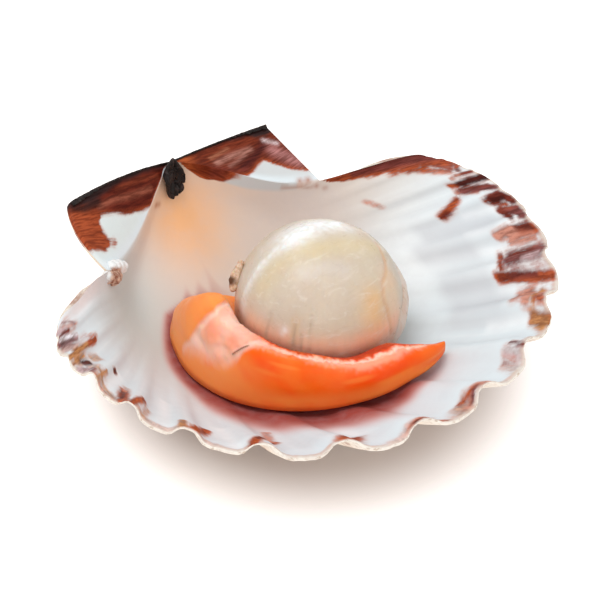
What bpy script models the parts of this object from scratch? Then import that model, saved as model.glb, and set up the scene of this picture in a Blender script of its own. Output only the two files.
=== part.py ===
"""Scallop in its shell: one cupped valve of a great scallop, opened and cleaned, that holds
the round white muscle, the thin catch muscle beside it and the orange coral curled round it.

The shell is described from its hinge. "Down the shell" means away from the hinge, towards
the free edge, which is -Y. Heights are measured from the plane where the two valves met.
Metres, +Z up, hinge line along X, origin on the ground below the middle of the shell.
"""

import math

import bmesh
import bpy
from mathutils import Vector
from mathutils.bvhtree import BVHTree

# ---- where the hinge is ------------------------------------------------------------------
HINGE_X = 0.0
HINGE_Y = 0.05526
HINGE_Z = 0.0331
UMBO_X = -0.0018              # the fan's point lies a little left of the middle line

# ---- the shell's fan; what differs left and right is given for -1 and 1 --------------------
FAN_ANGLE = {-1: math.radians(60.5), 1: math.radians(57.5)}
FAN_CROWDING = math.radians(82.5)   # ribs crowd towards the shoulders; 90 would pile them up
EDGE_HALF_WIDTH = 0.0626      # the free edge is an ellipse ...
EDGE_HALF_HEIGHT = 0.0560
EDGE_CENTRE = 0.0560          # ... centred this far down the shell
EDGE_RISE = 0.0010            # it stands this much above the hinge line
CORNER_START = math.radians(47)
CORNER_CUT = {-1: 0.02, 1: 0.05}    # how much shorter the fan is at its two corners
FLARE = {-1: 0.0054, 1: 0.0012}     # towards both corners the rim flares out by this much
FLARE_FROM = {-1: math.radians(47), 1: math.radians(12)}
FLARE_TO = {-1: math.radians(58), 1: math.radians(32)}
BOWL_DEPTH = 0.0310
BOWL_BACK = 0.70              # under 1, so the bowl drops steeply below the hinge
FLANK_UPPER = 0.50            # steep sides beside the ears ...
FLANK_LOWER = 0.85            # ... and gentler ones lower down
SHOULDER_DIP = {-1: 0.0115, 1: 0.0086}      # the shoulders dip where the ears end
SHOULDER_DIP_POWER = {-1: 0.8, 1: 1.0}      # the left dip lies nearer to the umbo
SHOULDER_DROOP = {-1: 0.0032, 1: 0.0006}    # and their far ends hang lower than the rim
SHOULDER_BLEND = 8            # how closely both keep to the shoulder
UMBO_HOLLOW = 0.45            # the hollow below the hinge narrows up to here

# ---- ribs --------------------------------------------------------------------------------
RIBS = 17                     # rounded ribs outside, channels inside
RIB_FLATNESS = 1.6            # flat tops and bottoms with steeper sides
RIB_BREADTH = 0.35            # ribs are broader than the grooves between them
RIB_INSIDE = 0.0010
RIB_INSIDE_START = 0.45       # the inside is smooth up to here
RIB_OUTSIDE = 0.0013
RIB_OUTSIDE_POWER = 0.8
RIB_SCALLOP = 0.0007          # the free edge runs out at each rib by this much
RIB_NARROWING = 1.1           # crowded ribs are shallower
RIB_FADE_START = 0.93         # no ribs on the shoulders

# ---- thickness ---------------------------------------------------------------------------
THICKNESS_EDGE = 0.0017
THICKNESS_UMBO = 0.0036
THICKNESS_EAR = 0.0022
STEEPEST = 0.32               # steep walls keep their thickness down to this cosine
UMBO_OVERHANG = 0.0050        # the outside leans back over the hinge line ...
UMBO_WIDTH = 0.0130           # ... this far to each side
UMBO_LENGTH = 0.0180
BELLY_FLAT = 0.0011           # the worn flat on the belly is this deep

# ---- ears --------------------------------------------------------------------------------
EAR_RADIUS = {-1: 0.0360, 1: 0.0415}        # the ears reach this far along the shoulders
EAR_LINE = {-1: -0.0343, 1: 0.0315}         # the two ends of the hinge line
EAR_TIP_Z = {-1: 0.0010, 1: -0.0020}
EAR_LINE_ARCH = {-1: 0.0020, 1: 0.0}        # the hinge line rises between umbo and tip
EAR_BULGE = {-1: 0.0028, 1: -0.0004}        # the side edges curve out or in
EAR_LIFT = {-1: 0.0020, 1: 0.0004}

# ---- mesh of the shell -------------------------------------------------------------------
EAR_COLUMNS = 4
RIB_COLUMNS = 6
DISC_COLUMNS = RIB_COLUMNS * RIBS
EAR_ROWS = 8
LOWER_ROWS = 6
ROW_POWER = 1.3

# ---- what lies in the shell --------------------------------------------------------------
GAP = 0.00035                 # clearance between neighbours
MUSCLE_X = 0.0046
MUSCLE_DOWN = 0.0557
MUSCLE_RADIUS = 0.0217
MUSCLE_BASE_RADIUS = 0.0200
MUSCLE_WAIST_Z = -0.0115
MUSCLE_TOP_Z = 0.0082
MUSCLE_ROUNDNESS = 0.90
CATCH_ANGLE = math.radians(-20)
CATCH_HALF_SPAN = math.radians(48)
CATCH_THICKNESS = 0.0017
CATCH_TOP_Z = -0.0040
CATCH_SLOPE = 0.0050          # its top falls off towards both ends by this much
CATCH_SKIN = 0.12             # thickness of its thin ends, as a share of the middle
CORAL_TIP = math.radians(-64)
CORAL_END = math.radians(-256)
CORAL_FLATNESS = 0.75         # sections are rounded boxes, not ellipses
CORAL_LEAN = 0.22             # the crest leans in over the muscle
CORAL_POINT = 0.13            # it tapers to a point over this share of its length
CORAL_TAPER = 0.6
CORAL_TIP_SHARE = 0.5
CORAL_BLUNT = 0.88            # and rounds off from here on
# along the coral, tip to blunt end: reach from the muscle's axis and height of its crest
CORAL_REACH = (0.0346, 0.0336, 0.0326, 0.0316, 0.0313, 0.0328, 0.0358, 0.0380, 0.0290)
CORAL_HEIGHT = (0.0070, 0.0118, 0.0128, 0.0160, 0.0190, 0.0220, 0.0240, 0.0094, 0.0030)
WEDGE_X = -0.0028             # its middle
WEDGE_BOTTOM, WEDGE_TOP = -0.0082, 0.0017   # heights of its ends from the hinge line
WEDGE_FOOT_WIDTH, WEDGE_TOP_WIDTH = 0.0060, 0.0034
WEDGE_HEIGHT = 0.0020         # how far it stands off the wall
WEDGE_SQUARENESS = 0.6        # it has flat faces and rounded corners
STRIP_WIDTH = 0.0009
STRIP_HEIGHT = 0.0007
STRIP_END_SWELL = 2.2         # it is this much wider at its ends


def smoothstep(low, high, value):
    """0 below low, 1 above high, and an even S between them."""
    t = min(max((value - low) / (high - low), 0.0), 1.0)
    return t * t * (3 - 2 * t)


def mix(first, second, t):
    return first + (second - first) * t


def from_hinge(x, down, z):
    """A point given from the hinge line, in the part's frame."""
    return Vector((HINGE_X + x, HINGE_Y - down, HINGE_Z + z))


def side_of(value):
    return -1 if value < 0 else 1


# ---- the shell as a surface --------------------------------------------------------------
def edge_radius(angle):
    """Distance from the umbo to the free edge, in this direction of the fan."""
    side = side_of(angle)
    way_x, way_y = math.sin(angle) / EDGE_HALF_WIDTH, math.cos(angle) / EDGE_HALF_HEIGHT
    off_x, off_y = -UMBO_X / EDGE_HALF_WIDTH, EDGE_CENTRE / EDGE_HALF_HEIGHT
    a = way_x ** 2 + way_y ** 2
    b = -2 * (way_x * off_x + way_y * off_y)
    c = off_x ** 2 + off_y ** 2 - 1
    radius = (-b + math.sqrt(b * b - 4 * a * c)) / (2 * a)
    corner = max(abs(angle) - CORNER_START, 0) / (FAN_ANGLE[side] - CORNER_START)
    return radius * (1 - CORNER_CUT[side] * corner ** 2)


CORNER_RADIUS = {side: edge_radius(side * FAN_ANGLE[side]) for side in (-1, 1)}
EAR_ALONG = {side: EAR_RADIUS[side] / CORNER_RADIUS[side] for side in (-1, 1)}


def bowl_profile(along):
    """Depth along the middle of the fan, 0 at the umbo and at the free edge, 1 at most."""
    deepest = BOWL_BACK / (1 + BOWL_BACK)
    peak = deepest ** BOWL_BACK * (1 - deepest)
    return along ** BOWL_BACK * (1 - along) / peak


def shoulder_height(side, along):
    """Height of a shoulder, which dips where the ear ends."""
    share = min(along, 1.0) ** SHOULDER_DIP_POWER[side]
    droop = SHOULDER_DROOP[side] * smoothstep(0.68, 0.85, along)
    return -SHOULDER_DIP[side] * math.sin(math.pi * share) ** 2 - droop


def flare(along, angle):
    """How much further out the rim lies towards the two corners."""
    side = side_of(angle)
    return (FLARE[side] * smoothstep(FLARE_FROM[side], FLARE_TO[side], abs(angle))
            * smoothstep(0.5, 1, along))


def rib_wave(across):
    """1 along the middle of a rib, -1 along the groove between two, 0 on the shoulders."""
    wave = math.tanh(RIB_FLATNESS * (math.cos(math.pi * RIBS * across) + RIB_BREADTH))
    most = math.tanh(RIB_FLATNESS * (1 + RIB_BREADTH))
    least = math.tanh(RIB_FLATNESS * (-1 + RIB_BREADTH))
    wave = 2 * (wave - least) / (most - least) - 1
    strength = math.cos(FAN_CROWDING * across) ** RIB_NARROWING
    return wave * strength * (1 - smoothstep(RIB_FADE_START, 1, abs(across)))


def fan_angle(across):
    """Direction in the fan, from -1 on the left shoulder to 1 on the right."""
    widest = FAN_ANGLE[side_of(across)]
    middle = (FAN_ANGLE[-1] + FAN_ANGLE[1]) / 2
    even = math.sin(FAN_CROWDING * across) / math.sin(FAN_CROWDING)
    return even * mix(middle, widest, abs(across))


def disc_height(along, angle):
    """Height of the disc's inner face without its ribs, from the hinge line."""
    side = side_of(angle)
    spread = min(abs(angle) / FAN_ANGLE[side], 1)
    hollow = mix(math.cos(angle) ** BOWL_BACK, 1, smoothstep(0, UMBO_HOLLOW, along))
    flank = (1 - spread ** 4) ** mix(FLANK_UPPER, FLANK_LOWER, smoothstep(0.3, 1, along))
    z = -BOWL_DEPTH * bowl_profile(along) * hollow * flank
    z += shoulder_height(side, along) * spread ** SHOULDER_BLEND
    return z + EDGE_RISE * smoothstep(0.5, 1, along)


def disc_point(along, across):
    """The inner face of the disc without its ribs; along 0 to 1, across -1 to 1."""
    angle = fan_angle(across)
    scallop = RIB_SCALLOP * rib_wave(across) * smoothstep(0.7, 1, along)
    reach = (edge_radius(angle) + scallop) * along + flare(along, angle)
    return from_hinge(UMBO_X + reach * math.sin(angle), reach * math.cos(angle),
                      disc_height(along, angle))


def hinge_height(side, share):
    """Height of the hinge line's ears, from the umbo (0) to the tip (1)."""
    arch = EAR_LINE_ARCH[side] * 4 * share * (1 - share)
    return EAR_TIP_Z[side] * share ** 2 + arch


def ear_point(side, along, towards_hinge):
    """The inner face of an ear, from the shoulder (0) up to the hinge line (1)."""
    shoulder = disc_point(along, side)
    share = along / EAR_ALONG[side]
    hinge = from_hinge(mix(UMBO_X, EAR_LINE[side], share), 0, hinge_height(side, share))
    arch = 4 * towards_hinge * (1 - towards_hinge) * share ** 2
    bulge = Vector((side * EAR_BULGE[side] * arch, 0, EAR_LIFT[side] * arch))
    return mix(shoulder, hinge, towards_hinge) + bulge


def row_along(row, across):
    """How far down the fan this row of the mesh lies; one row ends at the ears."""
    ears_end = mix(EAR_ALONG[-1], EAR_ALONG[1], (across + 1) / 2)
    if row <= EAR_ROWS:
        return ears_end * (row / EAR_ROWS) ** ROW_POWER
    return mix(ears_end, 1, (row - EAR_ROWS) / LOWER_ROWS)


def column_place(column):
    """Which ear (-1, 1) or the disc (0) this column lies on, and where across it."""
    if column < EAR_COLUMNS:
        return -1, 1 - column / EAR_COLUMNS
    beyond = column - EAR_COLUMNS - DISC_COLUMNS
    if beyond > 0:
        return 1, beyond / EAR_COLUMNS
    return 0, 2 * (column - EAR_COLUMNS) / DISC_COLUMNS - 1


def shell_thickness(side, where, along):
    at_disc = mix(THICKNESS_EDGE, THICKNESS_UMBO, (1 - along) ** 1.5)
    return at_disc if side == 0 else mix(at_disc, THICKNESS_EAR, where)


def outward(side, where, along, up):
    """From the inner face to the outer: straight down on steep walls, else square to it."""
    square = 0.0
    if side == 0:
        beside = smoothstep(0.40, 0.80, abs(where))
        square = smoothstep(mix(0.35, 0.60, beside), mix(0.70, 0.85, beside), along)
    way = mix(Vector((0, 0, 1)), up, square).normalized()
    return -way / max(way.dot(up), STEEPEST)


def umbo_overhang(place):
    """How far the outside leans back over the hinge line at this place."""
    down = HINGE_Y - place.y
    below = smoothstep(0.001, 0.010, HINGE_Z - place.z)
    aside = place.x - HINGE_X - UMBO_X
    near = math.exp(-(aside / UMBO_WIDTH) ** 2) * math.exp(-(down / UMBO_LENGTH) ** 2)
    return UMBO_OVERHANG * below * near


# ---- making objects ----------------------------------------------------------------------
def material(name, colour, roughness):
    made = bpy.data.materials.new(name)
    made.use_nodes = True
    shader = made.node_tree.nodes["Principled BSDF"]
    shader.inputs["Base Color"].default_value = (*colour, 1)
    shader.inputs["Roughness"].default_value = roughness
    made.diffuse_color = (*colour, 1)
    return made


def finish(bm, name, colour, roughness, collection):
    """Turn a bmesh into a smooth-shaded object of the part."""
    bmesh.ops.recalc_face_normals(bm, faces=bm.faces[:])
    if bm.calc_volume(signed=True) < 0:
        bmesh.ops.reverse_faces(bm, faces=bm.faces[:])
    mesh = bpy.data.meshes.new(name)
    bm.to_mesh(mesh)
    bm.free()
    mesh.shade_smooth()
    mesh.set_sharp_from_angle(angle=math.radians(50))
    mesh.materials.append(material(name, colour, roughness))
    made = bpy.data.objects.new(name, mesh)
    collection.objects.link(made)
    return made


def make_shell(collection):
    """One grid is bent into the inner face, doubled as the outer face and closed round."""
    bm = bmesh.new()
    columns = 2 * EAR_COLUMNS + DISC_COLUMNS
    rows = EAR_ROWS + LOWER_ROWS
    bmesh.ops.create_grid(bm, x_segments=columns, y_segments=rows, size=1)
    for vert in bm.verts:
        vert.co.x = round((vert.co.x + 1) / 2 * columns)
        vert.co.y = round((vert.co.y + 1) / 2 * rows)
    past_ears = []
    for face in bm.faces:
        middle = face.calc_center_median()
        on_disc = EAR_COLUMNS < middle.x < EAR_COLUMNS + DISC_COLUMNS
        if middle.y > EAR_ROWS and not on_disc:
            past_ears.append(face)
    bmesh.ops.delete(bm, geom=past_ears, context="FACES")

    column_of = bm.verts.layers.float.new("column")
    row_of = bm.verts.layers.float.new("row")
    up_of = bm.verts.layers.float_vector.new("up")
    for vert in bm.verts:
        vert[column_of], vert[row_of] = vert.co.x, vert.co.y
        side, where = column_place(vert.co.x)
        along = row_along(vert.co.y, side if side else where)
        vert.co = disc_point(along, where) if side == 0 else ear_point(side, along, where)
    umbo = [vert for vert in bm.verts if vert[row_of] == 0]
    bmesh.ops.remove_doubles(bm, verts=umbo, dist=1e-6)
    bm.normal_update()
    for vert in bm.verts:
        vert[up_of] = vert.normal if vert.normal.z > 0 else -vert.normal

    bm.verts.index_update()
    ridge_tops = []
    for vert in bm.verts:
        side, where = column_place(vert[column_of])
        along = row_along(vert[row_of], side if side else where)
        off = RIB_INSIDE * smoothstep(RIB_INSIDE_START, 1, along) if side == 0 else 0.0
        ridge_tops.append(vert.co + Vector(vert[up_of]) * off)
    faces = [[vert.index for vert in face.verts] for face in bm.faces]
    floor_tree = BVHTree.FromPolygons(ridge_tops, faces)

    doubled = bmesh.ops.extrude_face_region(bm, geom=bm.faces[:], use_keep_orig=True)
    outer = {item for item in doubled["geom"] if isinstance(item, bmesh.types.BMVert)}
    for vert in bm.verts:
        side, where = column_place(vert[column_of])
        along = row_along(vert[row_of], side if side else where)
        wave = rib_wave(where) if side == 0 else 0.0
        up = Vector(vert[up_of])
        if vert in outer:
            depth = shell_thickness(side, where, along)
            depth += RIB_OUTSIDE * along ** RIB_OUTSIDE_POWER * wave
            vert.co += outward(side, where, along, up) * depth
            vert.co.y += umbo_overhang(vert.co)
        else:
            vert.co -= up * RIB_INSIDE * smoothstep(RIB_INSIDE_START, 1, along) * wave
    ground = min(vert.co.z for vert in bm.verts) + BELLY_FLAT
    for vert in bm.verts:
        vert.co.z = max(vert.co.z, ground)
    finish(bm, "shell", (0.86, 0.82, 0.78), 0.35, collection)
    return floor_tree


def floor_finder(tree):
    """Returns a function that gives the height of the tops of the inner ridges at a place."""
    def floor(x, y, spread=0.0):
        heights = []
        for dx, dy in ((0, 0), (spread, 0), (-spread, 0), (0, spread), (0, -spread)):
            hit = tree.ray_cast(Vector((x + dx, y + dy, 0.2)), Vector((0, 0, -1)))[0]
            if hit is not None:
                heights.append(hit.z)
        return max(heights)

    return floor


def catch_thickness(angle):
    """How far the catch muscle stands out from the round muscle, in this direction."""
    off = abs((angle - CATCH_ANGLE + math.pi) % (2 * math.pi) - math.pi) / CATCH_HALF_SPAN
    return CATCH_THICKNESS * math.sqrt(max(1 - off ** 2, 0))


def muscle_radius(z):
    """Radius of the round muscle at this height above the plane of the edge."""
    if z >= MUSCLE_WAIST_Z:
        rise = (z - MUSCLE_WAIST_Z) / (MUSCLE_TOP_Z - MUSCLE_WAIST_Z)
        return MUSCLE_RADIUS * max(1 - rise ** 2, 0) ** (MUSCLE_ROUNDNESS / 2)
    sink = min((MUSCLE_WAIST_Z - z) / (BOWL_DEPTH + MUSCLE_WAIST_Z), 1)
    return mix(MUSCLE_RADIUS, MUSCLE_BASE_RADIUS, sink ** 2)


def make_muscle(collection, floor):
    """A ball whose upper part becomes the dome and wall, and its lower part the flat base."""
    bm = bmesh.new()
    rings, wall_rings = 16, 12
    bmesh.ops.create_uvsphere(bm, u_segments=32, v_segments=rings, radius=1)
    centre = from_hinge(MUSCLE_X, MUSCLE_DOWN, 0)
    for vert in bm.verts:
        ring = math.acos(max(min(vert.co.z, 1), -1)) / math.pi * rings
        turn = math.atan2(vert.co.y, vert.co.x)
        if ring <= wall_rings:
            lean = ring / wall_rings * math.pi * 0.72
            if lean < math.pi / 2:
                z = mix(MUSCLE_WAIST_Z, MUSCLE_TOP_Z, math.cos(lean))
                radius = muscle_radius(z)
            else:
                sink = (lean - math.pi / 2) / (math.pi * 0.22)
                radius = mix(MUSCLE_RADIUS, MUSCLE_BASE_RADIUS, sink ** 2)
                x = centre.x + radius * math.cos(turn)
                y = centre.y + radius * math.sin(turn)
                z = mix(MUSCLE_WAIST_Z, floor(x, y) + GAP - HINGE_Z, sink)
        else:
            radius = MUSCLE_BASE_RADIUS * (rings - ring) / (rings - wall_rings)
            x = centre.x + radius * math.cos(turn)
            y = centre.y + radius * math.sin(turn)
            z = floor(x, y) + GAP - HINGE_Z
        vert.co = centre + Vector((radius * math.cos(turn), radius * math.sin(turn), z))
    return finish(bm, "muscle", (0.84, 0.72, 0.55), 0.30, collection)


def make_catch_muscle(collection, floor):
    """A narrow crescent against the muscle's side: a ball pressed flat on two faces."""
    bm = bmesh.new()
    bmesh.ops.create_uvsphere(bm, u_segments=20, v_segments=12, radius=1)
    centre = from_hinge(MUSCLE_X, MUSCLE_DOWN, 0)
    foot = MUSCLE_BASE_RADIUS + CATCH_THICKNESS
    turns = (CATCH_ANGLE + CATCH_HALF_SPAN * step / 4 for step in range(-4, 5))
    heights = (floor(centre.x + foot * math.cos(turn), centre.y + foot * math.sin(turn))
               for turn in turns)
    bottom = max(heights) - HINGE_Z + GAP
    for vert in bm.verts:
        across, out, up = vert.co.x, vert.co.y, vert.co.z
        angle = CATCH_ANGLE + CATCH_HALF_SPAN * across
        way = Vector((math.cos(angle), math.sin(angle), 0))
        top = CATCH_TOP_Z - CATCH_SLOPE * across ** 2
        z = mix(bottom, top, (up + 1) / 2)
        stand = CATCH_THICKNESS * (max(out, 0) + CATCH_SKIN * (1 - max(-out, 0)))
        place = centre + way * (muscle_radius(z) + GAP + stand)
        vert.co = Vector((place.x, place.y, place.z + z))
    return finish(bm, "catch_muscle", (0.80, 0.66, 0.52), 0.30, collection)


def station(values, t):
    """A smooth value between the stations along the coral."""
    place = min(max(t, 0), 1) * (len(values) - 1)
    index = min(int(place), len(values) - 2)
    before, first = values[max(index - 1, 0)], values[index]
    second, after = values[index + 1], values[min(index + 2, len(values) - 1)]
    f = place - index
    return 0.5 * (2 * first + (second - before) * f
                  + (2 * before - 5 * first + 4 * second - after) * f ** 2
                  + (3 * first - before - 3 * second + after) * f ** 3)


def coral_place(t, turn, floor):
    """t runs from its tip (0) to its thick end (1), turn round its section."""
    centre = from_hinge(MUSCLE_X, MUSCLE_DOWN, 0)
    beside = math.copysign(abs(math.cos(turn)) ** CORAL_FLATNESS, math.cos(turn))
    above = max(math.sin(turn), 0) ** CORAL_FLATNESS
    width = min(t / CORAL_POINT, 1) ** CORAL_TAPER
    width *= math.sqrt(1 - max((t - CORAL_BLUNT) / (1 - CORAL_BLUNT), 0) ** 2)
    angle = mix(CORAL_TIP, CORAL_END, t)
    way = Vector((math.cos(angle), math.sin(angle), 0))
    outer = station(CORAL_REACH, t)
    inner = MUSCLE_RADIUS + catch_thickness(angle) * 1.1 + 2 * GAP
    middle = mix(CORAL_REACH[0], (inner + outer) / 2, min(t / CORAL_POINT, 1) ** 0.7)
    height = station(CORAL_HEIGHT, t) * mix(CORAL_TIP_SHARE, 1, width)
    radius = middle + (outer - inner) / 2 * width * (beside - CORAL_LEAN * above)
    place = centre + way * max(radius, inner)
    ground = floor(place.x, place.y, 0.0010) + 1.5 * GAP
    place.z = ground + height * above
    return place


def make_coral(collection, floor):
    """A ball drawn out round the muscle, pointed at one end, that lies on the floor."""
    bm = bmesh.new()
    bmesh.ops.create_uvsphere(bm, u_segments=16, v_segments=30, radius=1)
    for vert in bm.verts:
        t = math.acos(max(min(vert.co.z, 1), -1)) / math.pi
        vert.co = coral_place(t, math.atan2(vert.co.y, vert.co.x), floor)
    return finish(bm, "coral", (0.85, 0.22, 0.05), 0.28, collection)


def wall_down(tree, x, z):
    """How far in front of the hinge the shell's back wall stands at this x and height."""
    start = from_hinge(x, 0.030, min(z, -0.0006))
    hit = tree.ray_cast(start, Vector((0, 1, 0)))[0]
    return HINGE_Y - hit.y


def make_wedge(tree, collection):
    """The dark springy wedge in the hinge: a ball made square and leant on the back wall."""
    bm = bmesh.new()
    bmesh.ops.create_uvsphere(bm, u_segments=14, v_segments=10, radius=1)
    for vert in bm.verts:
        aside, upward, off = (math.copysign(abs(value) ** WEDGE_SQUARENESS, value)
                              for value in (vert.co.x, vert.co.z, vert.co.y))
        z = mix(WEDGE_BOTTOM, WEDGE_TOP, (1 + upward) / 2)
        width = mix(WEDGE_FOOT_WIDTH, WEDGE_TOP_WIDTH, (1 + upward) / 2)
        x = WEDGE_X + aside * width / 2
        down = max(wall_down(tree, x + shift, z) for shift in (-0.0006, 0, 0.0006))
        vert.co = from_hinge(x, down + 2 * GAP + WEDGE_HEIGHT * (1 - off) / 2, z)
    return finish(bm, "hinge_wedge", (0.02, 0.015, 0.012), 0.45, collection)


def make_strip(collection):
    """The dark ligament along the hinge line, a cylinder laid on it that swells at its ends."""
    bm = bmesh.new()
    pieces = 20
    bmesh.ops.create_grid(bm, x_segments=pieces, y_segments=1, size=1)
    left, right = EAR_LINE[-1] + 0.001, EAR_LINE[1] - 0.001
    for vert in bm.verts:
        x = mix(left, right, (vert.co.x + 1) / 2)
        swell = 1 + (STRIP_END_SWELL - 1) * abs(vert.co.x) ** 2
        back = 0.0002 if vert.co.y > 0 else STRIP_WIDTH * swell
        side = side_of(x - UMBO_X)
        share = (x - UMBO_X) / (EAR_LINE[side] - UMBO_X)
        vert.co = from_hinge(x, back, hinge_height(side, share) + 1.5 * GAP)
    raised = bmesh.ops.extrude_face_region(bm, geom=bm.faces[:], use_keep_orig=True)
    for item in raised["geom"]:
        if isinstance(item, bmesh.types.BMVert):
            item.co.z += STRIP_HEIGHT
    return finish(bm, "hinge_ligament", (0.02, 0.015, 0.012), 0.45, collection)


def build():
    for old in list(bpy.data.objects):
        bpy.data.objects.remove(old)
    collection = bpy.data.collections.new("scallop_in_shell")
    bpy.context.scene.collection.children.link(collection)
    tree = make_shell(collection)
    floor = floor_finder(tree)
    make_muscle(collection, floor)
    make_catch_muscle(collection, floor)
    make_coral(collection, floor)
    make_wedge(tree, collection)
    make_strip(collection)


build()
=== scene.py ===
# %% [markdown]
# # A scallop in its shell
#
# A great scallop lives between two valves. The lower one is a deep cup, and a fishmonger
# often serves the animal in it: the round white muscle that shut the shell, a thin catch
# muscle at its side, and the orange coral curled round them. This lesson builds that dish.
# Everything is in metres, with +Z up and the hinge of the shell along X at the back.

# %% Load the frame
import math

import bpy
import numpy as np
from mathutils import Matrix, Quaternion, Vector, noise
from mathutils.bvhtree import BVHTree


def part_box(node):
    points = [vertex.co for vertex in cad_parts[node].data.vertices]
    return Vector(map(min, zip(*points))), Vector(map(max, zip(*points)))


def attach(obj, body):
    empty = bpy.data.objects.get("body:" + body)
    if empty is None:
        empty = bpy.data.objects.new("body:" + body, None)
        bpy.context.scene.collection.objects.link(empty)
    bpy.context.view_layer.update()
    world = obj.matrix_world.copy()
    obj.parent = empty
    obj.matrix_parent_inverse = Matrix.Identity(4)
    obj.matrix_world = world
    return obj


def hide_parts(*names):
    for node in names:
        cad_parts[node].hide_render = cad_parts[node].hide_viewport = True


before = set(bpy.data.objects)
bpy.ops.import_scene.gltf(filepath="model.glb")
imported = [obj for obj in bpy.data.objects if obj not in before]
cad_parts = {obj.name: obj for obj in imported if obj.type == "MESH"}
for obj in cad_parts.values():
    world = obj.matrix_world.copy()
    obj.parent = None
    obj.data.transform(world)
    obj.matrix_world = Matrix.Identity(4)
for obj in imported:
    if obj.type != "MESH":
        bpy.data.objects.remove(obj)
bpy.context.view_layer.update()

# %% [markdown]
# ## Camera and lamps
#
# The dish is seen from the front left and above, through a long lens, so the shell keeps its
# true proportions. One wide lamp hangs behind and above it. The muscle gets a bright top from
# that, and the soft shadow falls to the front. A weaker lamp fills the front, and a pale room
# lights the rest. Small hard lamps would put sharp glints on the wet flesh.

# %% Camera
AZIMUTH, ELEVATION, ROLL = math.radians(-42.6), math.radians(42.8), math.radians(4.6)
AIM = Vector((0.00026, 0.0020, 0.0221))
DISTANCE = 0.4231
back = Vector((math.sin(AZIMUTH) * math.cos(ELEVATION),
               -math.cos(AZIMUTH) * math.cos(ELEVATION), math.sin(ELEVATION)))
bpy.ops.object.select_all(action="DESELECT")
bpy.ops.object.camera_add(location=AIM + back * DISTANCE)
camera = bpy.context.object
camera.rotation_mode = "QUATERNION"
camera.rotation_quaternion = (-back).to_track_quat("-Z", "Y") @ Quaternion((0, 0, 1), ROLL)
camera.data.lens, camera.data.sensor_width = 100, 36
camera.data.clip_start, camera.data.clip_end = 0.01, 20
bpy.context.scene.camera = camera
bpy.context.scene.view_settings.view_transform = "Standard"
print("camera", round(DISTANCE * 1000), "mm away, lens", camera.data.lens, "mm")

# %% Lamps and world
DISH = Vector((0, 0, 0.02))


def add_lamp(name, place, size, power, colour):
    """A square soft lamp at this place that faces the dish."""
    bpy.ops.object.light_add(type="AREA", location=place)
    lamp = bpy.context.object
    lamp.name = name
    lamp.rotation_mode = "QUATERNION"
    lamp.rotation_quaternion = (DISH - Vector(place)).to_track_quat("-Z", "Y")
    lamp.data.size, lamp.data.energy, lamp.data.color = size, power, colour
    print(name, power, "W")


add_lamp("key_lamp", (-0.16, 0.16, 0.78), 0.45, 2.3, (1.0, 0.985, 0.965))
add_lamp("front_fill", (-0.30, -0.55, 0.42), 0.50, 1.2, (1.0, 0.99, 0.98))
world = bpy.data.worlds.new("white_room")
world.use_nodes = True
room = world.node_tree.nodes["Background"]
room.inputs["Color"].default_value = (0.97, 0.985, 1.0, 1)
room.inputs["Strength"].default_value = 0.82
bpy.context.scene.world = world

# %% [markdown]
# ## Small tools
#
# The shell, the coral and the muscle are shapes that grew, so their meshes start as an
# ordinary grid or ball and every vertex is then led to its place by a formula. These short
# helpers read and write all vertices of a piece at once, and give soft steps and soft noise.

# %% Numbers and noise
def ramp(low, high, value):
    """0 below low, 1 above high, and an even S between them."""
    t = np.clip((value - low) / (high - low), 0, 1)
    return t * t * (3 - 2 * t)


def fall(low, high, value):
    """1 below low and 0 above high: the ramp turned over."""
    return 1 - ramp(low, high, value)


def blend(first, second, share):
    return first + (second - first) * share


def hump(value, centre, width):
    """1 at the centre, falling off to nothing like a bell."""
    return np.exp(-((value - centre) / width) ** 2)


def grain(places, size, seed):
    """Soft noise between about -1 and 1 for each place, with lumps of this size."""
    shift = Vector((seed * 17.3, seed * 5.1, seed * 9.7))
    return np.array([noise.noise(Vector(place) / size + shift) for place in places])


def as_places(*coordinates):
    """Places, one row each, from all x, all y and all z; one number does for a whole column."""
    return np.stack(np.broadcast_arrays(*coordinates), axis=1)

# %% Vertices of a piece
def read(items, name, width=1, kind=float):
    """This value, or row of values, of every vertex or face."""
    flat = np.empty(len(items) * width, dtype=kind)
    items.foreach_get(name, flat)
    return flat.reshape(-1, width) if width > 1 else flat


def places_of(piece):
    return read(piece.data.vertices, "co", 3)


def normals_of(piece):
    return read(piece.data.vertices, "normal", 3)


def move_to(piece, places):
    piece.data.vertices.foreach_set("co", np.ascontiguousarray(places).ravel())
    piece.data.update()


def remember(piece, name, values):
    """Keeps a number, or three, for each vertex under this name, for formulas and materials."""
    values = np.asarray(values, dtype=float)
    single = values.ndim == 1
    kept = piece.data.attributes.new(name, "FLOAT" if single else "FLOAT_VECTOR", "POINT")
    kept.data.foreach_set("value" if single else "vector", values.ravel())


def recall(piece, name):
    kept = piece.data.attributes[name]
    single = kept.data_type == "FLOAT"
    return read(kept.data, "value" if single else "vector", 1 if single else 3)


def remember_colour(piece, name, colours):
    """Keeps one colour for each vertex under this name."""
    kept = piece.data.attributes.new(name, "FLOAT_COLOR", "POINT")
    whole = np.ones((len(colours), 4))
    whole[:, :3] = colours
    kept.data.foreach_set("color", whole.ravel())

# %% Painting with strokes
def wash(paint, colour, share):
    """One thin coat of a colour over the paint that is there."""
    return blend(paint, np.array(colour), np.clip(share, 0, 1)[:, None])


def to_line(places, points):
    """Distance in millimetres from each place to a line through these points, in millimetres."""
    points = np.array(points, dtype=float)
    places = places[:, :points.shape[1]] * 1000
    nearest = np.full(len(places), 1e3)
    for start, end in zip(points[:-1], points[1:]):
        run = end - start
        share = np.clip((places - start) @ run / (run @ run + 1e-9), 0, 1)
        nearest = np.minimum(nearest, np.linalg.norm(places - start - share[:, None] * run, axis=1))
    return nearest


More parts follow.
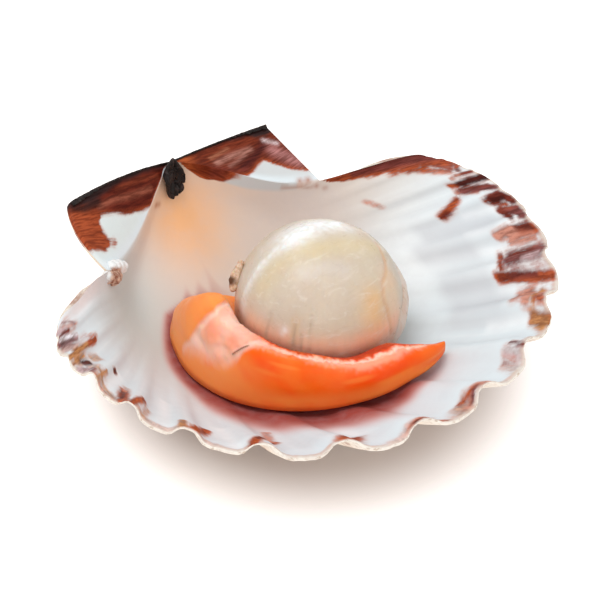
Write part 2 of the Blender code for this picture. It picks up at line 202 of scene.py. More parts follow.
def stroke(places, points, width):
    """1 along a line through these points, falling off to both sides."""
    return hump(to_line(places, points), 0, width)


def spot(places, point, radius):
    """1 at a point given in millimetres, falling off like a bell of this radius."""
    return stroke(places, (point, point), radius)


def coats(paint, *layers):
    """Thin coats over the paint that is there, each a colour and its share."""
    for colour, share in layers:
        paint = wash(paint, colour, share)
    return paint

# %% Starting a piece
def new_ball(segments, rings, radius=1, middle=(0, 0, 0)):
    bpy.ops.object.select_all(action="DESELECT")
    bpy.ops.mesh.primitive_uv_sphere_add(segments=segments, ring_count=rings, radius=radius,
                                         location=middle)
    return bpy.context.object


def new_grid(columns, rows):
    bpy.ops.object.select_all(action="DESELECT")
    bpy.ops.mesh.primitive_grid_add(x_subdivisions=columns, y_subdivisions=rows, size=2)
    return bpy.context.object

# %% Selecting and finishing
def choose(piece, kind, chosen):
    """Selects these vertices or faces of a piece, and nothing else, in edit mode."""
    bpy.ops.object.mode_set(mode="EDIT")
    bpy.ops.mesh.select_mode(type=kind)
    bpy.ops.mesh.select_all(action="DESELECT")
    bpy.ops.object.mode_set(mode="OBJECT")
    items = piece.data.vertices if kind == "VERT" else piece.data.polygons
    items.foreach_set("select", np.asarray(chosen, dtype=bool))
    bpy.ops.object.mode_set(mode="EDIT")


def double_sheet(piece):
    """Extrudes a whole sheet where it lies, and tells which vertices are the new ones."""
    choose(piece, "VERT", np.ones(len(piece.data.vertices)))
    bpy.ops.mesh.extrude_region()
    bpy.ops.object.mode_set(mode="OBJECT")
    return read(piece.data.vertices, "select", kind=bool)


def finish_piece(piece, name, node, smooth_below):
    """Turns the faces outwards, shades them, names the piece, hangs it on the root and hides the CAD node it
    stands for.
    """
    bpy.ops.object.mode_set(mode="EDIT")
    bpy.ops.mesh.select_all(action="SELECT")
    bpy.ops.mesh.normals_make_consistent(inside=False)
    bpy.ops.object.mode_set(mode="OBJECT")
    bpy.ops.object.shade_smooth_by_angle(angle=math.radians(smooth_below))
    piece.name = piece.data.name = name
    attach(piece, "root")
    if node:
        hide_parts(node)
    low, high = places_of(piece).min(axis=0), places_of(piece).max(axis=0)
    print(name, len(piece.data.polygons), "faces", np.round(low * 1000, 1), np.round(high * 1000, 1))

# %% [markdown]
# ## The cupped valve: its shape
#
# A scallop's shell grows from one point at the hinge, the umbo. Each rib is a ray of a fan
# from that point, and each growth line a ring round it. So the fan is the natural way to
# describe it: "along" runs from the umbo (0) to the free edge (1) and "across" from the left
# shoulder (-1) to the right one (1). Sculpting could give the bowl, but ribs that meet at the
# umbo, fade out inside and scallop the edge are a formula's work.

# %% The fan's outline
HINGE = Vector((0.0, 0.05526, 0.03310))
UMBO_X = -0.0018
# A pair of numbers is for the left and the right side.
FAN_ANGLE = (math.radians(60.5), math.radians(57.5))
EDGE_HALF_WIDTH, EDGE_HALF_HEIGHT, EDGE_CENTRE = 0.0626, 0.0560, 0.0560
CORNER_START = math.radians(47)
CORNER_CUT = (0.02, 0.05)
EAR_ENDS = (0.0360, 0.0415)


def by_side(value, pair):
    """The left number where the value is negative, else the right one."""
    return np.where(value < 0, pair[0], pair[1])


def edge_radius(angle):
    """Distance from the umbo to the free edge, in this direction of the fan."""
    way_x, way_y = np.sin(angle) / EDGE_HALF_WIDTH, np.cos(angle) / EDGE_HALF_HEIGHT
    off_x, off_y = -UMBO_X / EDGE_HALF_WIDTH, EDGE_CENTRE / EDGE_HALF_HEIGHT
    a = way_x ** 2 + way_y ** 2
    b = -2 * (way_x * off_x + way_y * off_y)
    c = off_x ** 2 + off_y ** 2 - 1
    radius = (-b + np.sqrt(b * b - 4 * a * c)) / (2 * a)
    widest = by_side(angle, FAN_ANGLE)
    corner = np.clip(np.abs(angle) - CORNER_START, 0, None) / (widest - CORNER_START)
    return radius * (1 - by_side(angle, CORNER_CUT) * corner ** 2)


corner_radius = [float(edge_radius(np.array(angle))) for angle in (-FAN_ANGLE[0], FAN_ANGLE[1])]
EAR_ALONG = [end / corner for end, corner in zip(EAR_ENDS, corner_radius)]
print("fan corners at", [round(radius * 1000, 1) for radius in corner_radius], "mm from the umbo")


def ears_end(across):
    """How far along the fan the ears reach, from the left shoulder to the right one."""
    return blend(EAR_ALONG[0], EAR_ALONG[1], (across + 1) / 2)

# %% The fan's ribs
RIBS, RIB_FLATNESS, RIB_BREADTH = 17, 1.6, 0.35
FAN_CROWDING = math.radians(82.5)


def fan_angle(across):
    """Direction in the fan; the ribs crowd together towards the shoulders."""
    even = np.sin(FAN_CROWDING * across) / math.sin(FAN_CROWDING)
    return even * blend(sum(FAN_ANGLE) / 2, by_side(across, FAN_ANGLE), np.abs(across))


def rib_wave(across):
    """1 along the middle of a rib, -1 along the groove between two, 0 on the shoulders."""
    wave = np.tanh(RIB_FLATNESS * (np.cos(math.pi * RIBS * across) + RIB_BREADTH))
    most = math.tanh(RIB_FLATNESS * (1 + RIB_BREADTH))
    least = math.tanh(RIB_FLATNESS * (-1 + RIB_BREADTH))
    wave = 2 * (wave - least) / (most - least) - 1
    strength = np.cos(FAN_CROWDING * across) ** 1.1
    return wave * strength * fall(0.93, 1, np.abs(across))


across_ribs = np.arange(1 - RIBS, RIBS, 2) / RIBS
print(RIBS, "ribs at", np.round(np.degrees(fan_angle(across_ribs))), "degrees")

# %% The bowl
BOWL_DEPTH, BOWL_BACK = 0.0310, 0.70
SHOULDER_DIP, SHOULDER_POWER = (0.0115, 0.0086), (0.8, 1.0)
SHOULDER_DROOP = (0.0032, 0.0006)
LIP_RISE, SCALLOP = 0.0010, 0.0007
FLARE = (0.0054, 0.0012)
FLARE_FROM = (math.radians(47), math.radians(12))
FLARE_TO = (math.radians(58), math.radians(32))


def disc_height(along, angle):
    """Height of the disc's inner face without its ribs, from the hinge line."""
    spread = np.clip(np.abs(angle) / by_side(angle, FAN_ANGLE), 0, 1)
    deepest = BOWL_BACK / (1 + BOWL_BACK)
    profile = along ** BOWL_BACK * (1 - along) / (deepest ** BOWL_BACK * (1 - deepest))
    hollow = blend(np.cos(angle) ** BOWL_BACK, 1, ramp(0, 0.45, along))
    flank = np.clip(1 - spread ** 4, 0, 1) ** blend(0.50, 0.85, ramp(0.3, 1, along))
    share = np.clip(along, 0, 1) ** by_side(angle, SHOULDER_POWER)
    dip = by_side(angle, SHOULDER_DIP) * np.sin(math.pi * share) ** 2
    dip = dip + by_side(angle, SHOULDER_DROOP) * ramp(0.68, 0.85, along)
    bowl = -BOWL_DEPTH * profile * hollow * flank
    return bowl - dip * spread ** 8 + LIP_RISE * ramp(0.5, 1, along)


def disc_point(along, across):
    """The inner face of the disc, without its ribs."""
    angle = fan_angle(across)
    scallop = SCALLOP * rib_wave(across) * ramp(0.7, 1, along)
    flare = by_side(angle, FLARE) * ramp(0.5, 1, along) * ramp(
        by_side(angle, FLARE_FROM), by_side(angle, FLARE_TO), np.abs(angle))
    reach = (edge_radius(angle) + scallop) * along + flare
    return as_places(HINGE.x + UMBO_X + reach * np.sin(angle), HINGE.y - reach * np.cos(angle),
                     HINGE.z + disc_height(along, angle))

# %% The ears
EAR_LINE, EAR_TIP_Z, EAR_LINE_ARCH = (-0.0343, 0.0315), (0.0010, -0.0020), (0.0020, 0.0)
EAR_BULGE, EAR_LIFT = (0.0028, -0.0004), (0.0020, 0.0004)


def hinge_height(side, share):
    """Height of the hinge line along an ear, from the umbo (0) to the tip (1)."""
    arch = by_side(side, EAR_LINE_ARCH) * 4 * share * (1 - share)
    return by_side(side, EAR_TIP_Z) * share ** 2 + arch


def ear_point(side, along, upward):
    """The inner face of an ear, from the shoulder (0) up to the hinge line (1)."""
    share = along / by_side(side, EAR_ALONG)
    hinge = as_places(HINGE.x + blend(UMBO_X, by_side(side, EAR_LINE), share), HINGE.y,
                      HINGE.z + hinge_height(side, share))
    arch = 4 * upward * (1 - upward) * share ** 2
    place = blend(disc_point(along, side), hinge, upward[:, None])
    place[:, 0] += side * by_side(side, EAR_BULGE) * arch
    place[:, 2] += by_side(side, EAR_LIFT) * arch
    return place


def inner_face(side, along, across, upward):
    """Disc and ears together, without ribs."""
    disc = disc_point(along, across)
    ear = ear_point(np.where(side == 0, 1.0, side), along, upward)
    return np.where(side[:, None] == 0, disc, ear)

# %% [markdown]
# ## The cupped valve: its mesh
#
# One grid becomes the inner face. Its rows are rings of growth and its columns run down the
# ribs, 16 to each, with some more for the two ears. The part of the grid beyond the ears is
# deleted, the first row is merged into the umbo, and an extrusion of the whole sheet gives
# the outer face, which the formula then pushes out by the shell's thickness.

# %% A grid for the fan
EAR_COLUMNS, RIB_COLUMNS = 26, 16
EAR_ROWS, LOWER_ROWS = 60, 62
disc_columns = RIB_COLUMNS * RIBS
columns, rows = 2 * EAR_COLUMNS + disc_columns, EAR_ROWS + LOWER_ROWS
valve = new_grid(columns, rows)
centres = (read(valve.data.polygons, "center", 3) + 1) / 2 * (columns, rows, 1)
on_disc = np.abs(centres[:, 0] - columns / 2) < disc_columns / 2
choose(valve, "FACE", (centres[:, 1] > EAR_ROWS) & ~on_disc)
bpy.ops.mesh.delete(type="FACE")
bpy.ops.object.mode_set(mode="OBJECT")
print("the fan's grid:", len(valve.data.polygons), "faces")

# %% Where each vertex belongs
UMBO_CROWDING, EDGE_CROWDING = 1.15, 1.45
grid = np.round((places_of(valve) + 1) / 2 * (columns, rows, 1))
column, row = grid[:, 0] - EAR_COLUMNS, grid[:, 1]
side = np.where(column < 0, -1.0, np.where(column > disc_columns, 1.0, 0.0))
across = np.clip(2 * column / disc_columns - 1, -1, 1)
upward = np.clip(np.where(side < 0, -column, column - disc_columns) / EAR_COLUMNS, 0, 1)
below = 1 - (1 - np.clip((row - EAR_ROWS) / LOWER_ROWS, 0, 1)) ** EDGE_CROWDING
along = np.where(row <= EAR_ROWS, ears_end(across) * np.clip(row / EAR_ROWS, 0, 1) ** UMBO_CROWDING,
                 blend(ears_end(across), 1, below))
for name, values in (("along", along), ("across", across), ("side", side), ("upward", upward)):
    remember(valve, name, values)
print(int((side == 0).sum()), "vertices on the disc,", int((side != 0).sum()), "on the ears")

# %% Bend the grid into the inner face
SAME_PLACE = 5e-7
move_to(valve, inner_face(side, along, across, upward))
choose(valve, "VERT", np.ones(len(valve.data.vertices)))
bpy.ops.mesh.remove_doubles(threshold=SAME_PLACE)
bpy.ops.object.mode_set(mode="OBJECT")
facing = normals_of(valve)
remember(valve, "facing", facing * np.where(facing[:, 2:] < 0, -1, 1))
outside = double_sheet(valve)
print("inner and outer face:", len(valve.data.polygons), "faces")

# %% [markdown]
# The wall is 3.6 mm thick at the umbo and 1.7 mm at the free edge. On the steep back wall the
# outer face hangs straight below the inner one, and lower down it stands square to it. Ribs
# are round and high outside, and inside they are flat channels that fade out towards the
# umbo. The free edge is worn, so it wanders a little and both faces close in on it.

# %% Ribs and thickness
WALL_AT_UMBO, WALL_AT_EDGE, WALL_AT_HINGE_LINE = 0.0036, 0.0017, 0.0022
OUTER_RIB, INNER_RIB = 0.0013, 0.0010
THINNER_AT_EDGE, THINNER_WITHIN = 0.00075, 0.007
UMBO_OVERHANG = 0.0042
side, along, across = recall(valve, "side"), recall(valve, "along"), recall(valve, "across")
upward, facing = recall(valve, "upward"), recall(valve, "facing")
is_disc = side == 0
wave = np.where(is_disc, rib_wave(across), 0)
remember(valve, "wave", wave)
smooth_face = inner_face(side, along, across, upward)
angle = fan_angle(across)
from_edge = np.where(is_disc, (1 - along) * edge_radius(angle), 1.0)

thickness = blend(WALL_AT_EDGE, WALL_AT_UMBO, np.clip(1 - along, 0, 1) ** 1.5)
thickness = np.where(is_disc, thickness, blend(thickness, WALL_AT_HINGE_LINE, upward))
thickness = thickness + OUTER_RIB * np.clip(along, 0, 1) ** 0.8 * wave
beside = ramp(0.40, 0.80, np.abs(across))
square = ramp(blend(0.35, 0.60, beside), blend(0.70, 0.85, beside), along) * is_disc
way = blend(np.array([0, 0, 1.0]), facing, square[:, None])
way /= np.linalg.norm(way, axis=1)[:, None]
way /= np.clip((way * facing).sum(axis=1), 0.32, None)[:, None]

outer = smooth_face - way * thickness[:, None]
lower = ramp(0.001, 0.010, HINGE.z - outer[:, 2])
outer[:, 1] += (UMBO_OVERHANG * lower * hump(outer[:, 0], HINGE.x + UMBO_X, 0.0130)
                * hump(outer[:, 1], HINGE.y, 0.0180))
rib_relief = INNER_RIB * ramp(0.45, 1, along)
thinned = THINNER_AT_EDGE * fall(0.0, THINNER_WITHIN, from_edge)
inner = smooth_face - facing * (rib_relief * wave + thinned)[:, None]
ridge_tops = smooth_face + facing * (rib_relief * is_disc)[:, None]
print("the outer face lies up to", round(float(thickness.max()) * 1000, 1), "mm below the inner one")

# %% The worn edge, and the belly that is worn flat
DISC_ROUNDING, EAR_ROUNDING, EAR_LENGTH = 0.0009, 0.0008, 0.040
WANDER, FINE_WANDER, LIFT_WANDER = 0.00040, 0.00024, 0.00022
EDGE_SUNK, CORNER_SUNK = 0.0003, 0.0008


def rounding(distance, width):
    """0 at an edge and 1 from this width on, between them like a quarter of a circle."""
    return np.sqrt(1 - np.clip(1 - distance / width, 0, 1) ** 2)


ear_edge = (1 - along / ears_end(across)) * EAR_LENGTH
worn = np.where(is_disc, rounding(from_edge, DISC_ROUNDING), rounding(ear_edge, EAR_ROUNDING))
place = np.where(outside[:, None], outer, inner)
place = blend(blend(blend(inner, outer, 0.55), place, 0.35), place, worn[:, None])

edge_line = as_places(across * 60, 0, 0)
wander = WANDER * grain(edge_line, 1.9, 1) + FINE_WANDER * grain(edge_line, 0.5, 2)
outwards = as_places(np.sin(angle), -np.cos(angle), 0)
near_edge = ramp(0.88, 1, along) * is_disc
rounded = CORNER_SUNK * ramp(0.92, 1.0, across) * ramp(0.97, 1, along)
place += outwards * ((wander - EDGE_SUNK) * near_edge - rounded * is_disc)[:, None]
place[:, 2] += LIFT_WANDER * grain(edge_line, 1.6, 3) * near_edge
place[:, 2] = np.maximum(place[:, 2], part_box("shell")[0].z)

inner_faces = [tuple(face.vertices) for face in valve.data.polygons
               if not any(outside[i] for i in face.vertices)]
ridge_surface = BVHTree.FromPolygons([Vector(top) for top in ridge_tops], inner_faces)
move_to(valve, place)
finish_piece(valve, "cupped_valve", "shell", 60)

# %% [markdown]
# ## Finishes
#
# Each finish is a small tree of nodes. A node is one step, such as noise, a mix of two
# colours or a bump, and these helpers add a step and wire it in one line. Colours that belong
# to a place, such as a stain, are painted on the vertices, and the nodes add the fine grain.

# %% A finish and its nodes
def add_node(tree, kind, inputs=None, **settings):
    """Adds a node; an input is a number, a colour, or the output of another node."""
    made = tree.nodes.new("ShaderNode" + kind)
    for name, value in settings.items():
        setattr(made, name, value)
    for key, value in (inputs or {}).items():
        if isinstance(value, bpy.types.NodeSocket):
            tree.links.new(value, made.inputs[key])
        elif isinstance(value, tuple) and made.inputs[key].type == "RGBA":
            made.inputs[key].default_value = (*value, 1)
        else:
            made.inputs[key].default_value = value
    return made


def new_finish(name, **constants):
    """A material with its shader's constant numbers set; returns it with its tree."""
    made = bpy.data.materials.new(name)
    made.use_nodes = True
    shader = made.node_tree.nodes["Principled BSDF"]
    for key, value in constants.items():
        shader.inputs[key.replace("_", " ")].default_value = value
    return made, made.node_tree


def wire(finish, **outputs):
    """Leads these outputs to the shader's inputs of the same names."""
    shader = finish.node_tree.nodes["Principled BSDF"]
    for key, output in outputs.items():
        finish.node_tree.links.new(output, shader.inputs[key.replace("_", " ")])
    print("finish", finish.name, "has", len(finish.node_tree.nodes), "nodes")

# %% Steps that a finish is made of
def kept(tree, name, output="Fac"):
    """What each vertex remembers: a number, or its Color or Vector."""
    return add_node(tree, "Attribute", attribute_name=name).outputs[output]


def noise_node(tree, inputs, **settings):
    return add_node(tree, "TexNoise", inputs, **settings).outputs[0]


def mottle(tree, scale, detail=2.0, stretch=(1, 1, 1), roughness=0.5, distortion=0.0):
    """Noise from 0 to 1 in the piece's own space; scale is lumps to the metre."""
    where = add_node(tree, "TexCoord").outputs["Object"]
    sized = add_node(tree, "Mapping", {"Vector": where, "Scale": stretch}).outputs[0]
    return noise_node(tree, {"Vector": sized, "Scale": scale, "Detail": detail,
                             "Roughness": roughness, "Distortion": distortion})


def calc(tree, operation, first, second=0.0, third=0.0):
    return add_node(tree, "Math", {0: first, 1: second, 2: third}, operation=operation).outputs[0]


def bands(tree, name, count, detail, roughness):
    """Noise that changes only with a remembered number, so it lies in bands."""
    counted = calc(tree, "MULTIPLY", kept(tree, name), count)
    return noise_node(tree, {"W": counted, "Scale": 1.0, "Detail": detail, "Roughness": roughness},
                      noise_dimensions="1D")


def step(tree, value, low, high, to_low=0.0, to_high=1.0):
    """A soft step from to_low to to_high as the value goes from low to high."""
    return add_node(tree, "MapRange", {"Value": value, "From Min": low, "From Max": high,
                                       "To Min": to_low, "To Max": to_high},
                    interpolation_type="SMOOTHSTEP").outputs[0]


def mix_colour(tree, share, first, second, mode="MIX"):
    return add_node(tree, "Mix", {0: share, 6: first, 7: second}, data_type="RGBA",
                    blend_type=mode).outputs[2]


def bump(tree, height, distance, strength=1.0, under=None):
    """Relief of this depth in metres, on top of the relief under it."""
    inputs = {"Height": height, "Distance": distance, "Strength": strength}
    if under is not None:
        inputs["Normal"] = under
    return add_node(tree, "Bump", inputs).outputs[0]

# %% [markdown]
# ## The valve's colours
#
# Inside, the shell is glazed like porcelain. The bowl is a cool white with painted shade at the
# left back and painted light on the right, and the back wall a warm grey with a peach glow in
# the hollow below the hinge. Near the free edge thin white lines, painted highlights, run down
# the ribs, where low ridges and the sides of the channels catch the light, and grey painted
# shade lies in the channels. The colours are washed on one over the other, as thin coats of
# paint would be: patches with a place of their own are easier to lay one by one than to find
# in noise.

# %% Colours of the inside, and the unrolled rim
PORCELAIN, PAINTED_LIGHT_WHITE = (0.71, 0.78, 0.81), (0.90, 0.93, 0.94)
BOWL_PAINTED_SHADE, WALL_GREY, WARM_GREY = (0.52, 0.55, 0.515), (0.74, 0.63, 0.54), (0.76, 0.68, 0.64)
CHANNEL_PAINTED_SHADE, RIDGE_PAINTED_HIGHLIGHT, GROOVE_PAINTED_SHADE = (0.58, 0.60, 0.62), (0.88, 0.91, 0.92), (0.54, 0.555, 0.585)
PEACH, SHOULDER_PINK = (0.86, 0.46, 0.215), (0.88, 0.70, 0.66)
RIB_MM = 6
RIDGE_HIGHLIGHT_LINES = (
    ((2.15, 4), (2.15, 14)), ((2.93, 0), (2.97, 12)), ((3.40, 1), (3.45, 9)),
    ((3.93, 5), (4.05, 12), (4.25, 24)), ((4.42, 2), (4.6, 14)), ((5.03, 3), (5.15, 12)),
    ((5.98, 0), (5.96, 6)), ((6.32, 0), (6.33, 5)), ((-5.15, 2), (-5.12, 16)),
    ((-3.85, 3), (-3.9, 24)), ((-2.8, 2), (-2.85, 20)), ((-1.0, 12), (-1.1, 20)),
)
GROOVE_SHADE_LINES = (((2.65, 12), (2.68, 22)), ((3.25, 15), (3.3, 24)), ((4.8, 8), (5.0, 22)),
                ((4.2, 16), (4.4, 26)))
place = places_of(valve)
rib, edge_mm = across * RIBS / 2, from_edge * 1000
off_middle = np.abs(rib)
rim_place = as_places(rib * RIB_MM, edge_mm) / 1000


def disc_wash(colour, share):
    """A coat on the disc alone, not on the ears."""
    return wash(paint, colour, is_disc * share)


def rim_stroke(points, width):
    """A stroke on the unrolled rim: points in ribs from the middle and mm from the free edge."""
    return stroke(rim_place, [(rib_count * RIB_MM, mm) for rib_count, mm in points], width)

# %% First coats on the inside
paint = np.tile(PORCELAIN, (len(place), 1))
# Painted shade: the left back of the bowl is darkened as if it lay in shadow.
paint = disc_wash(BOWL_PAINTED_SHADE, 0.85 * spot(place, (-28, 33, 9), 21))
paint = disc_wash(WALL_GREY, ramp(0.000, 0.040, place[:, 1]) * ramp(-0.030, -0.004, place[:, 0]))
paint = disc_wash(WARM_GREY, 0.7 * spot(place, (28, 36, 18), 14))
# Painted light: two pale patches brighten the right of the bowl.
paint = disc_wash(PAINTED_LIGHT_WHITE, 0.75 * spot(place, (42, 2, 15), 13))
paint = disc_wash(PAINTED_LIGHT_WHITE, 0.5 * spot(place, (44, -21, 22), 9))
# Two fine ridges to a rib: a grey wash of painted shade lies between them and a white wash of painted
# highlight on them.
ridges = np.cos(4 * math.pi * rib) * is_disc
inner_ribs = ramp(0.40, 0.60, along) * ramp(1.5, 6.5, edge_mm) * ramp(1.0, 2.0, off_middle)
inner_ribs = inner_ribs * fall(6.2, 7.0, off_middle) * is_disc * fall(20, 30, edge_mm)
paint = wash(paint, CHANNEL_PAINTED_SHADE, 0.32 * inner_ribs * fall(-0.7, 0.5, ridges))
paint = wash(paint, RIDGE_PAINTED_HIGHLIGHT, 0.20 * inner_ribs * ramp(0.75, 0.98, ridges))
# Painted highlights: thin white lines on some low ridges near the free edge.
for points in RIDGE_HIGHLIGHT_LINES:
    paint = disc_wash(PAINTED_LIGHT_WHITE, 0.6 * rim_stroke(points, 0.8))
# Painted shade: blue-grey strokes in some channels near the free edge.
for points in GROOVE_SHADE_LINES:
    paint = disc_wash(GROOVE_PAINTED_SHADE, 0.6 * rim_stroke(points, 2.2))
paint = disc_wash(PEACH, 0.92 * spot(place, (-3, 48.5, 20.0), 12.0))
paint = disc_wash(PEACH, 0.35 * spot(place, (0, 43, 14), 8.0))
paint = disc_wash(SHOULDER_PINK, 0.55 * ramp(-7.3, -8.1, rib) * hump(edge_mm, 13, 9))
print("first coats on", int(is_disc.sum()), "vertices of the disc")

# %% The white of the ears, and brown flakes beside them
LEFT_EAR_WHITE, RIGHT_EAR_WHITE = (0.68, 0.745, 0.735), (0.60, 0.62, 0.62)
FLAKE_BROWN = (0.42, 0.15, 0.07)
FLAKES = (((28.5, 36.6, 24.9), 0.9, 0.8), ((30.3, 35.4, 25.2), 1.0, 0.9),
          ((31.9, 33.6, 23.5), 0.8, 0.7), ((33.9, 32.1, 22.9), 0.8, 0.5),
          ((-9.4, 50.7, 25.0), 0.8, 0.9), ((-8.3, 50.9, 24.6), 0.7, 0.7))
FLAKE_LINE = ((24, 38.6, 22.9), (27.6, 36.5, 23.3), (30.5, 34.6, 22.9))
ear_share = along / ears_end(across)
ears_white = ramp(0.04, 0.20, upward) * ramp(0.25, 0.42, ear_share) * (side != 0)
paint = wash(paint, LEFT_EAR_WHITE, ears_white * (side < 0))
white_from = np.interp(along, [0.14, 0.21, 0.32, 0.375, 0.455, 0.51],
                       [0.905, 0.95, 0.97, 0.98, 0.985, 0.99])
beside_ear = is_disc * ramp(-0.010, 0.010, across - white_from) * ramp(0.17, 0.23, along) * (along < 0.5)
paint = wash(paint, RIGHT_EAR_WHITE, ears_white * (side > 0) + beside_ear)
for point, radius, share in FLAKES:
    paint = wash(paint, FLAKE_BROWN, share * spot(place, point, radius))
paint = wash(paint, FLAKE_BROWN, 0.5 * stroke(place, FLAKE_LINE, 0.5))
print(len(FLAKES), "flakes beside the ears")

# %% [markdown]
# Pigment was laid down where the growing edge was, so most patches start at the free edge and
# run up along the ribs. They are painted in strokes on the unrolled rim: a stroke has a
# colour, a width in millimetres, a strength and its points, which are counted in ribs from
# the middle and in millimetres from the free edge. Where strokes cross, the strongest says
# how much pigment there is, and the later one's colour lies on top.

